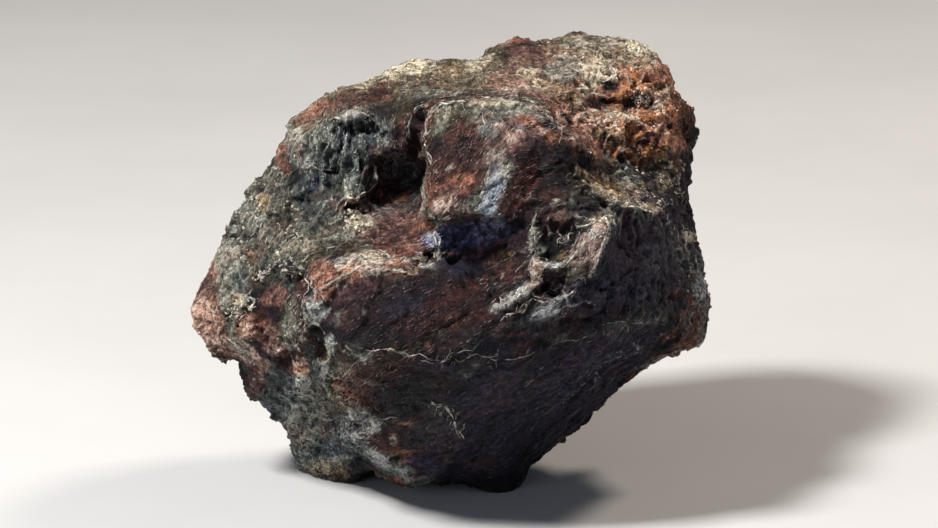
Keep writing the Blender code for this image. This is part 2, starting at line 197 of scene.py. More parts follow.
def layered(layer, places, wavelength, octaves, gain, shrink):
    # one shape over and over, each time finer and lower
    total = np.zeros(len(places))
    height = 1.0
    for octave in range(octaves):
        total += height * layer(places / wavelength, octave)
        wavelength = wavelength / shrink
        height = height * gain
    return total


def swells(places, wavelength, octaves, seed, gain=0.5):
    def layer(spots, octave):
        return noiseAt(spots + 11.3 * octave, seed + octave)
    return layered(layer, places, wavelength, octaves, gain, shrink=2.03)


def ridges(places, wavelength, octaves, seed):
    def layer(spots, octave):
        return 0.5 - 2 * np.abs(noiseAt(spots + 7.7 * octave, seed + octave))
    return layered(layer, places, wavelength, octaves, gain=0.55, shrink=2.1)


def facets(places, wavelength, octaves, seed):
    # broken faces, each leaning its own way, with small steps between them
    def layer(spots, octave):
        return inBlocks(facetBlock, spots + (seed + octave) * 3.71 % seedSpan)
    return layered(layer, places, wavelength, octaves, gain=0.5, shrink=2.3)


def terraces(places, wavelength, octaves, seed):
    # rounded steps: flakes lying one on another
    steps = 2.2  # for each unit of the noise
    level = steps * swells(places, wavelength, octaves, seed, gain=0.55)
    step = np.floor(level)
    return (step + smoothStep(0.30, 0.62, level - step)) / steps


def smoothStep(low, high, values):
    share = np.clip((values - low) / (high - low), 0, 1)
    return share * share * (3 - 2 * share)


# The stone's features, placed in frame coordinates (938 by 528, from the top left)

rims = {
    # name: (half width and height in millimetres, crust 0 to 1, points)
    "slabCrest": (0.40, 0.80, 1.0, [
        (428, 117), (430, 110), (438, 105), (452, 102), (470, 100), (485, 97), (500, 98), (518, 97),
        (533, 103), (545, 112), (552, 120), (560, 130)]),
    "slabLeft": (0.42, 0.6, 1.0, [
        (428, 117), (425, 124), (427, 131), (423, 138), (425, 146), (430, 156), (432, 166)]),
    "slabLeftLow": (0.30, 0.35, 0.45, [(432, 166), (429, 182), (427, 198), (427, 212)]),
    "slabFoot": (0.30, 0.3, 0.7, [(427, 214), (436, 217), (447, 220), (456, 217)]),
    "slabFootEast": (0.25, 0.3, 0.55, [(492, 221), (503, 223), (512, 218), (518, 211)]),
    "slotLip": (0.35, 0.5, 0.9, [(426, 104), (416, 106), (412, 114), (409, 124), (410, 138), (408, 151)]),
    "curtainBrow": (0.50, 0.8, 0.95, [
        (322, 124), (336, 117), (344, 121), (352, 113), (361, 112), (369, 117)]),
    "curtainLash": (0.22, 0.5, 0.7, [(365, 114), (374, 121), (384, 126), (394, 130)]),
    "curtainHem": (0.50, 0.6, 1.0, [
        (344, 180), (345, 190), (347, 197), (356, 198), (363, 194), (370, 190), (376, 184)]),
    "upperHem": (0.35, 0.45, 0.8, [(302, 168), (312, 166), (322, 169), (332, 170), (341, 167), (342, 160)]),
    "westHem": (0.30, 0.45, 0.9, [(334, 210), (338, 203), (344, 198)]),
    "ledgeWest": (0.45, 0.6, 1.0, [
        (281, 262), (290, 257), (297, 266), (304, 270), (311, 272), (313, 281), (311, 289)]),
    "ledgeTop": (0.55, 0.6, 0.95, [
        (350, 262), (358, 256), (366, 262), (376, 264), (388, 262), (400, 263), (411, 260), (421, 257)]),
    "ledgeVein": (0.28, 0.5, 1.0, [(362, 256), (371, 250), (381, 252), (390, 256), (396, 261)]),
    "ledgeLow": (0.50, 0.35, 0.7, [
        (318, 290), (330, 284), (342, 277), (353, 271), (364, 266), (380, 270), (400, 272), (418, 274)]),
    "hollowRim": (0.35, 0.55, 1.0, [
        (417, 262), (422, 266), (431, 265), (438, 259), (440, 251), (436, 246), (428, 248)]),
    "faceLeft": (0.45, 0.6, 1.0, [
        (305, 296), (303, 306), (304, 316), (308, 322), (304, 330), (301, 337), (303, 343)]),
    "tongueFoot": (0.30, 0.4, 0.9, [(283, 340), (288, 346), (295, 346), (301, 341)]),
    "chin": (0.45, 0.5, 1.0, [
        (325, 338), (330, 346), (329, 356), (325, 364), (323, 374), (330, 378), (341, 378)]),
    "facetBrow": (0.25, 0.4, 0.75, [
        (341, 378), (349, 370), (356, 363), (366, 358), (378, 350), (390, 349), (402, 354), (408, 358)]),
    "lowerCrest": (0.28, 0.35, 0.5, [
        (408, 358), (420, 353), (431, 360), (447, 361), (456, 353), (470, 350), (482, 356), (500, 357)]),
    "facetFoot": (0.30, 0.4, 0.6, [(367, 417), (378, 419), (390, 418), (401, 418)]),
    "thread": (0.34, 0.55, 0.85, [
        (430, 401), (437, 406), (445, 407), (451, 415), (455, 425), (459, 432), (464, 441)]),
    "creviceLip": (0.40, 0.5, 0.6, [(318, 384), (326, 394), (337, 402), (348, 408), (360, 412)]),
    "blueCrust": (0.60, 0.7, 1.0, [(338, 432), (347, 436), (356, 433), (366, 431), (374, 424)]),
    "keel": (0.45, 0.5, 0.8, [(350, 446), (362, 447), (372, 455), (384, 463), (396, 470), (406, 472)]),
    "webStem": (0.32, 0.55, 0.9, [
        (534, 218), (532, 228), (535, 240), (534, 252), (531, 264), (532, 275), (536, 279)]),
    "bowlRim": (0.40, 0.6, 0.9, [
        (536, 262), (545, 265), (555, 267), (564, 266), (571, 259), (578, 250), (586, 240)]),
    "webFoot": (0.50, 0.7, 0.9, [
        (540, 279), (532, 287), (525, 292), (516, 297), (508, 302), (500, 306), (492, 305)]),
    "webLow": (0.45, 0.6, 0.8, [(525, 292), (529, 301), (524, 310), (515, 313), (505, 316)]),
    "webEast": (0.40, 0.5, 0.8, [(533, 299), (545, 302), (556, 300), (566, 296), (575, 290)]),
    "petalTop": (0.45, 0.7, 1.0, [
        (576, 228), (583, 226), (590, 221), (597, 217), (605, 217), (608, 223), (611, 231)]),
    "petalEdge": (0.35, 0.6, 0.9, [
        (611, 231), (606, 240), (602, 247), (597, 258), (595, 268), (590, 276), (580, 280)]),
    "petalWest": (0.30, 0.4, 0.7, [(576, 228), (577, 238), (571, 249), (563, 262), (558, 272)]),
    "bowlNick": (0.20, 0.35, 0.7, [(557, 246), (562, 238), (569, 233), (571, 229)]),
    "cornerRim": (0.35, 0.55, 0.9, [(560, 130), (567, 133), (575, 137), (583, 144), (589, 152), (594, 160)]),
    "cragWest": (0.45, 0.6, 0.6, [(575, 166), (580, 176), (588, 184), (598, 189), (608, 191)]),
    "cragCrest": (0.45, 0.6, 1.0, [
        (608, 191), (615, 198), (622, 205), (634, 207), (645, 209), (655, 212), (663, 210)]),
    "cragRidge": (0.40, 0.6, 0.8, [(624, 184), (634, 186), (645, 187), (650, 197), (657, 206), (665, 213)]),
    "shoulderLip": (0.50, 0.6, 0.9, [
        (577, 118), (586, 112), (597, 110), (608, 112), (615, 120), (617, 130)]),
    "shoulderShelf": (0.50, 0.6, 0.7, [(617, 112), (630, 115), (640, 122), (655, 126), (668, 130)]),
    "shoulderEye": (0.40, 0.5, 1.0, [
        (596, 76), (599, 68), (608, 66), (616, 70), (612, 79), (603, 82), (596, 76)]),
    "shoulderBrow": (0.50, 0.6, 0.8, [(560, 94), (572, 90), (583, 88), (590, 92), (599, 96), (606, 97)]),
    "shoulderStrut": (0.50, 0.5, 0.5, [(624, 72), (630, 84), (644, 93), (656, 101), (668, 112)]),
    "plateauVein": (0.35, 0.5, 0.8, [
        (437, 99), (447, 96), (458, 93), (468, 92), (476, 95), (490, 92), (505, 91), (520, 90)]),
    "noseRim": (0.40, 0.5, 0.7, [(222, 337), (231, 342), (240, 350), (248, 358), (256, 366)]),
    "westBelt": (0.40, 0.6, 0.9, [(233, 300), (238, 306), (243, 303), (248, 297), (254, 300)]),
    "westFleck": (0.35, 0.5, 0.9, [(258, 268), (263, 274), (270, 272), (276, 264), (274, 257)]),
    "westStitch": (0.40, 0.5, 0.7, [(272, 252), (279, 247), (286, 240), (296, 232), (303, 238)]),
    "shelfRim": (0.35, 0.45, 0.6, [(300, 262), (312, 254), (322, 251), (334, 246), (345, 243), (352, 236)]),
    "knob": (0.42, 0.6, 1.0, [
        (292, 377), (297, 380), (302, 377), (307, 376), (311, 379), (312, 383), (309, 387), (303, 388),
        (298, 386), (293, 388)]),
    "knobMiddle": (0.26, 0.35, 1.0, [(295, 383), (300, 382), (305, 383)]),
    "facetPlate": (0.34, 0.55, 1.0, [
        (322, 362), (323, 369), (321, 375), (325, 379), (332, 378), (338, 377)]),
    "stepLip": (0.40, 0.55, 0.9, [(326, 396), (334, 399), (342, 402), (350, 408), (358, 411)]),
    "stepDrop": (0.40, 0.5, 1.0, [(352, 408), (352, 416), (349, 424), (344, 430), (339, 436)]),
    "stepLow": (0.50, 0.6, 1.0, [(366, 418), (374, 424), (372, 432), (364, 438), (357, 436)]),
    "bluePatchRim": (0.35, 0.4, 0.9, [(421, 240), (427, 235), (436, 232), (440, 238), (440, 248)]),
    "midVein": (0.22, 0.3, 0.3, [(520, 250), (512, 258), (500, 262), (492, 268)]),
    "streakRim": (0.25, 0.35, 0.8, [(488, 170), (486, 182), (481, 193), (475, 204)]),
    "eastBeads": (0.35, 0.6, 0.8, [(655, 170), (664, 174), (672, 182), (676, 192), (684, 196), (687, 188)]),
}

fills = {
    # hollows of the CAD solid that are too wide: (middle, half width, half height, turn,
    # how far out the floor rises, and its slope for each pixel right and down)
    "cleft": ((642, 238), 27, 36, 0, 17.2, -0.13, 0.02),
    "bowl": ((554, 243), 15, 16, 0, 26.3, 0.00, 0.06),
    "lowBowl": ((553, 288), 13, 8, 10, 28.4, 0.00, 0.03),
    "shoulderCave": ((608, 88), 22, 18, 0, -4.6, 0.00, 0.06),
    "shoulderNook": ((632, 96), 17, 14, 0, -4.4, 0.00, 0.05),
    "darkBand": ((652, 144), 28, 20, 0, 0.8, -0.09, 0.00),
}

pits = {
    # name: (middle, half width, half height, turn in degrees, depth in millimetres)
    "pegHole": ((429, 257), 7, 4.5, 38, 4.0),
    "recessOval": ((446, 236), 5, 6, 20, 1.2),
    "recessPit": ((456, 262), 8, 5, 0, 0.9),
    "recessDark": ((478, 272), 12, 5, 20, 0.9),
    "rampPit": ((396, 240), 6, 4, 30, 1.0),
    "bowl": ((556, 246), 9, 8, 0, 0.5),
    "lowBowl": ((551, 287), 9, 4.5, 10, 0.9),
    "webPit": ((516, 305), 5, 3, 20, 0.6),
    "shoulderEye": ((606, 73), 5, 3.5, 0, 1.3),
    "shoulderCave": ((600, 103), 15, 6, 5, 0.8),
    "shoulderNook": ((634, 100), 13, 6, 35, 0.4),
    "shoulderDen": ((611, 87), 9, 4, 10, 1.0),
    "shoulderChink": ((603, 126), 7, 2.5, 0, 1.2),
    "darkBand": ((650, 139), 16, 5, 5, 0.5),
    "cragHole": ((626, 162), 12, 9, 0, 1.4),
    "knobSlot": ((304, 382), 5, 1.6, 8, 1.0),
    "underTongue": ((285, 360), 11, 9, 20, 1.6),
    "westPit": ((275, 222), 5, 4, 0, 1.4),
    "westEye": ((236, 325), 4, 3, 0, 1.2),
    "westNick": ((243, 311), 4, 3, 0, 1.0),
    "upperHemPit": ((331, 172), 9, 4, 0, 1.4),
    "hemPit": ((352, 207), 9, 4, 8, 1.4),
    "ledgePit": ((299, 280), 5, 6, 0, 1.6),
    "fleckPit": ((293, 267), 3, 3, 0, 1.0),
    "creviceTop": ((318, 350), 8, 9, 0, 1.5),
    "chinGap": ((335, 382), 9, 2.5, 0, 1.6),
    "keelHollow": ((398, 459), 9, 6, 20, 1.2),
    "blueHole": ((357, 426), 4, 3, 0, 1.2),
    "cleft": ((638, 234), 2.4, 20, 4, 1.6),
    "plateauChink": ((462, 97), 9, 1.8, 0, 0.8),
    "slabNick": ((447, 201), 3, 3, 0, 0.7),
    "underBrow": ((366, 129), 6, 8, 10, 0.9),
    "slot": ((420, 121), 5, 17, 2, 2.4),
    "slotLow": ((414, 150), 7, 12, 0, 1.6),
    "curtainGap": ((350, 163), 4, 7, 15, 1.4),
}

grooves = {
    # name: (half width and depth in millimetres, points)
    "behindCrest": (0.55, 1.1, [
        (434, 100), (450, 96), (470, 94), (490, 92), (512, 91), (530, 95), (546, 103), (558, 114)]),
    "underLedge": (0.30, 0.8, [(400, 255), (408, 252), (416, 248), (423, 243)]),
    "shelfCrease": (0.35, 0.7, [(330, 258), (337, 258), (343, 255), (352, 252)]),
    "slabCrease": (0.25, 0.4, [(458, 180), (466, 172), (474, 163), (480, 152), (486, 146)]),
    "facetCreaseA": (0.25, 0.4, [(356, 400), (364, 390), (374, 381), (386, 374), (396, 369)]),
    "facetCreaseB": (0.25, 0.4, [(366, 408), (374, 398), (384, 390), (395, 380)]),
    "facetCreaseC": (0.25, 0.4, [(400, 412), (404, 402), (408, 392), (412, 382)]),
    "eastCrease": (0.30, 0.6, [(575, 150), (566, 160), (556, 166), (548, 172)]),
    "eastUnder": (0.35, 0.6, [(600, 290), (620, 280), (640, 268), (660, 262)]),
    "eastLow": (0.35, 0.6, [(560, 322), (590, 318), (620, 306), (650, 300), (676, 296)]),
    "undersideA": (0.35, 0.6, [(470, 470), (486, 440), (500, 415), (520, 392)]),
    "undersideB": (0.35, 0.6, [(540, 440), (556, 415), (575, 395), (600, 380)]),
}

threads = {
    # thin raised lines with no ridge under them: (half width in millimetres, how pale, points)
    "stemTop": (0.10, 0.60, [(531, 230), (533, 223), (535, 217), (536, 210)]),
    "stemLoop": (0.13, 0.90, [(535, 240), (534, 257), (529, 265), (530, 275), (534, 279)]),
    "bowlLoop": (0.12, 0.90, [
        (540, 257), (550, 263), (562, 267), (570, 260), (577, 253), (587, 243), (597, 235), (608, 232)]),
    "petalCrown": (0.16, 1.00, [
        (567, 240), (570, 232), (578, 228), (593, 225), (600, 217), (607, 217), (608, 223), (613, 230)]),
    "petalSaw": (0.12, 0.90, [
        (610, 232), (601, 244), (605, 247), (598, 254), (600, 258), (592, 268), (594, 272), (588, 277)]),
    "petalFibreA": (0.08, 0.80, [(566, 268), (574, 258), (583, 249), (592, 240), (600, 233)]),
    "petalFibreB": (0.08, 0.80, [(571, 275), (579, 266), (588, 256), (595, 247)]),
    "bowlCrescent": (0.09, 0.70, [(557, 246), (557, 240), (562, 236), (567, 238), (564, 243), (558, 245)]),
    "bowlPost": (0.12, 0.90, [(568, 241), (569, 231)]),
    "webSheetEdge": (0.13, 0.90, [(500, 300), (510, 298), (518, 290), (527, 293), (532, 280), (534, 270)]),
    "webKnee": (0.12, 0.90, [(530, 290), (533, 297), (542, 300), (547, 299)]),
    "webFringe": (0.12, 0.80, [(547, 301), (557, 302), (567, 295), (574, 289)]),
    "webFringeLow": (0.10, 0.60, [(527, 317), (537, 311), (548, 305), (560, 300)]),
    "webHook": (0.10, 0.70, [(496, 296), (502, 300), (499, 308), (493, 312)]),
    "recessHook": (0.08, 0.50, [(478, 281), (484, 278), (488, 281), (486, 289)]),
    "slabArc": (0.10, 0.50, [(496, 221), (506, 223), (512, 219), (518, 211)]),
    "slabFork": (0.11, 0.80, [(477, 108), (483, 115), (486, 124), (490, 137)]),
    "slabForkEast": (0.08, 0.60, [(515, 127), (509, 146), (500, 156)]),
    "slabFibreA": (0.08, 0.60, [(531, 107), (540, 115), (547, 124)]),
    "slabFibreB": (0.08, 0.80, [
        (524, 98), (537, 103), (547, 111), (555, 121), (562, 130), (561, 138), (557, 143)]),
    "streakLine": (0.09, 0.80, [(484, 188), (489, 178), (497, 168)]),
    "faceTick": (0.08, 0.45, [(538, 165), (545, 168), (543, 175)]),
    "faceTickLow": (0.08, 0.40, [(524, 201), (530, 195), (537, 188)]),
    "eastTick": (0.08, 0.40, [(540, 213), (542, 208), (547, 206)]),
    "archBeads": (0.14, 0.80, [(618, 154), (623, 150), (628, 150), (633, 154)]),
    "ledgeFoldA": (0.10, 0.90, [(334, 265), (348, 260), (362, 258), (376, 258), (392, 259)]),
    "ledgeFoldB": (0.09, 0.90, [(356, 258), (366, 251), (378, 250), (390, 254), (400, 259)]),
    "ledgeFoldC": (0.09, 0.90, [(342, 280), (354, 271), (364, 267), (376, 269), (392, 270), (408, 273)]),
    "ringInner": (0.13, 0.90, [
        (412, 261), (420, 258), (430, 251), (435, 253), (434, 260), (427, 265), (418, 264)]),
    "ringOuter": (0.12, 1.00, [(426, 267), (438, 261), (441, 252), (438, 246), (436, 238), (431, 234)]),
    "tongueLine": (0.10, 0.80, [
        (281, 267), (286, 272), (299, 272), (306, 278), (310, 287), (304, 297), (302, 309)]),
    "tongueFringe": (0.10, 1.00, [(306, 318), (306, 326), (302, 331), (302, 339), (298, 346), (289, 345)]),
    "chinEdge": (0.11, 0.80, [(324, 339), (328, 348), (323, 362), (323, 372), (327, 378), (341, 378)]),
    "browThread": (0.10, 0.55, [
        (341, 378), (350, 368), (360, 358), (376, 350), (392, 348), (404, 354), (411, 359)]),
    "crestThread": (0.08, 0.40, [(486, 358), (506, 359), (524, 357), (538, 350)]),
    "crestThreadWest": (0.09, 0.50, [
        (420, 360), (440, 363), (450, 358), (460, 362), (470, 356), (480, 354)]),
    "facetFibreA": (0.07, 0.40, [(380, 383), (390, 373), (402, 367)]),
    "facetFibreB": (0.07, 0.40, [(352, 396), (362, 384), (373, 375)]),
    "longThread": (0.11, 0.60, [(430, 401), (437, 405), (446, 408), (452, 417), (456, 428), (463, 441)]),
    "cragFibreA": (0.10, 0.70, [(577, 173), (587, 180), (597, 188), (608, 193)]),
    "cragFibreB": (0.10, 0.70, [(584, 170), (596, 178), (608, 186), (622, 191)]),
    "cragFibreC": (0.10, 0.80, [(600, 186), (616, 196), (632, 200), (646, 205)]),
    "westHook": (0.22, 1.00, [(257, 272), (262, 278), (268, 276), (274, 270), (276, 263), (281, 266)]),
    "westBeltLow": (0.18, 0.90, [(241, 317), (246, 311), (252, 306), (254, 299)]),
    "slabTop": (0.13, 0.95, [(429, 116), (433, 109), (442, 105), (454, 103), (466, 101), (478, 103)]),
    "slabTopB": (0.11, 0.90, [(505, 101), (518, 97), (530, 99), (540, 107), (548, 117), (556, 124)]),
    "shoulderDrip": (0.16, 0.95, [(607, 112), (613, 115), (617, 121), (618, 130), (621, 139)]),
    "shoulderHem": (0.13, 0.90, [
        (590, 121), (598, 118), (607, 118), (616, 116), (625, 113), (634, 115), (641, 112)]),
    "shoulderHemB": (0.15, 0.90, [(646, 116), (652, 110), (657, 102), (664, 98), (668, 91), (665, 84)]),
    "nookRing": (0.16, 0.95, [(596, 79), (599, 70), (606, 66), (614, 68), (617, 75), (614, 81)]),
    "shoulderEdge": (0.13, 0.90, [(628, 84), (635, 90), (641, 97), (648, 104), (651, 110)]),
    "brink": (0.12, 0.80, [
        (344, 181), (345, 190), (348, 197), (356, 199), (363, 194), (370, 189), (377, 183)]),
    "hemThread": (0.12, 0.80, [(303, 168), (312, 167), (322, 170), (332, 170), (340, 168), (342, 160)]),
    "browEdge": (0.12, 0.80, [(336, 118), (344, 121), (352, 113), (361, 112), (372, 119), (384, 126)]),
    "eastLow": (0.09, 0.40, [(600, 325), (615, 322), (630, 322), (645, 324)]),
}



palette = {
    # name: (red, green, blue, how frosted with pale grains)
    # black, plum and wine are dark stone colours, which the patches also lay into pits and onto faces turned
    # from the key lamp as painted shade
    "black": (0.0042, 0.0038, 0.0065, 0.03),
    "plum": (0.022, 0.0082, 0.0110, 0.08),
    "rust": (0.070, 0.022, 0.016, 0.18),
    # brick is a darker rust; laid over the slab's face it is painted shade
    "brick": (0.050, 0.0190, 0.0150, 0.22),
    "mauve": (0.13, 0.075, 0.066, 0.50),
    "salmon": (0.30, 0.130, 0.085, 0.45),
    "pink": (0.21, 0.100, 0.080, 0.45),
    "orange": (0.42, 0.165, 0.060, 0.45),
    "ochre": (0.36, 0.21, 0.070, 0.45),
    "tan": (0.25, 0.165, 0.090, 0.50),
    "sand": (0.24, 0.190, 0.125, 0.60),
    "olive": (0.058, 0.050, 0.031, 0.38),
    "greyGreen": (0.105, 0.112, 0.090, 0.55),
    "coolGrey": (0.125, 0.150, 0.150, 0.45),
    "teal": (0.034, 0.046, 0.048, 0.40),
    "violet": (0.027, 0.023, 0.046, 0.12),
    "lavender": (0.13, 0.14, 0.26, 0.60),
    "blueWhite": (0.26, 0.30, 0.36, 0.75),
    "paleGrey": (0.27, 0.265, 0.22, 0.70),
    "cream": (0.54, 0.47, 0.34, 0.85),
    "pearl": (0.34, 0.36, 0.35, 1.00),
    "petalPink": (0.44, 0.28, 0.22, 1.00),
    # petal pink made paler as painted light, for faces that the key lamp leaves in shade
    "paintedLightPink": (0.66, 0.43, 0.36, 0.90),
    "white": (0.80, 0.80, 0.80, 1.00),
    "wine": (0.070, 0.030, 0.036, 0.12),
}

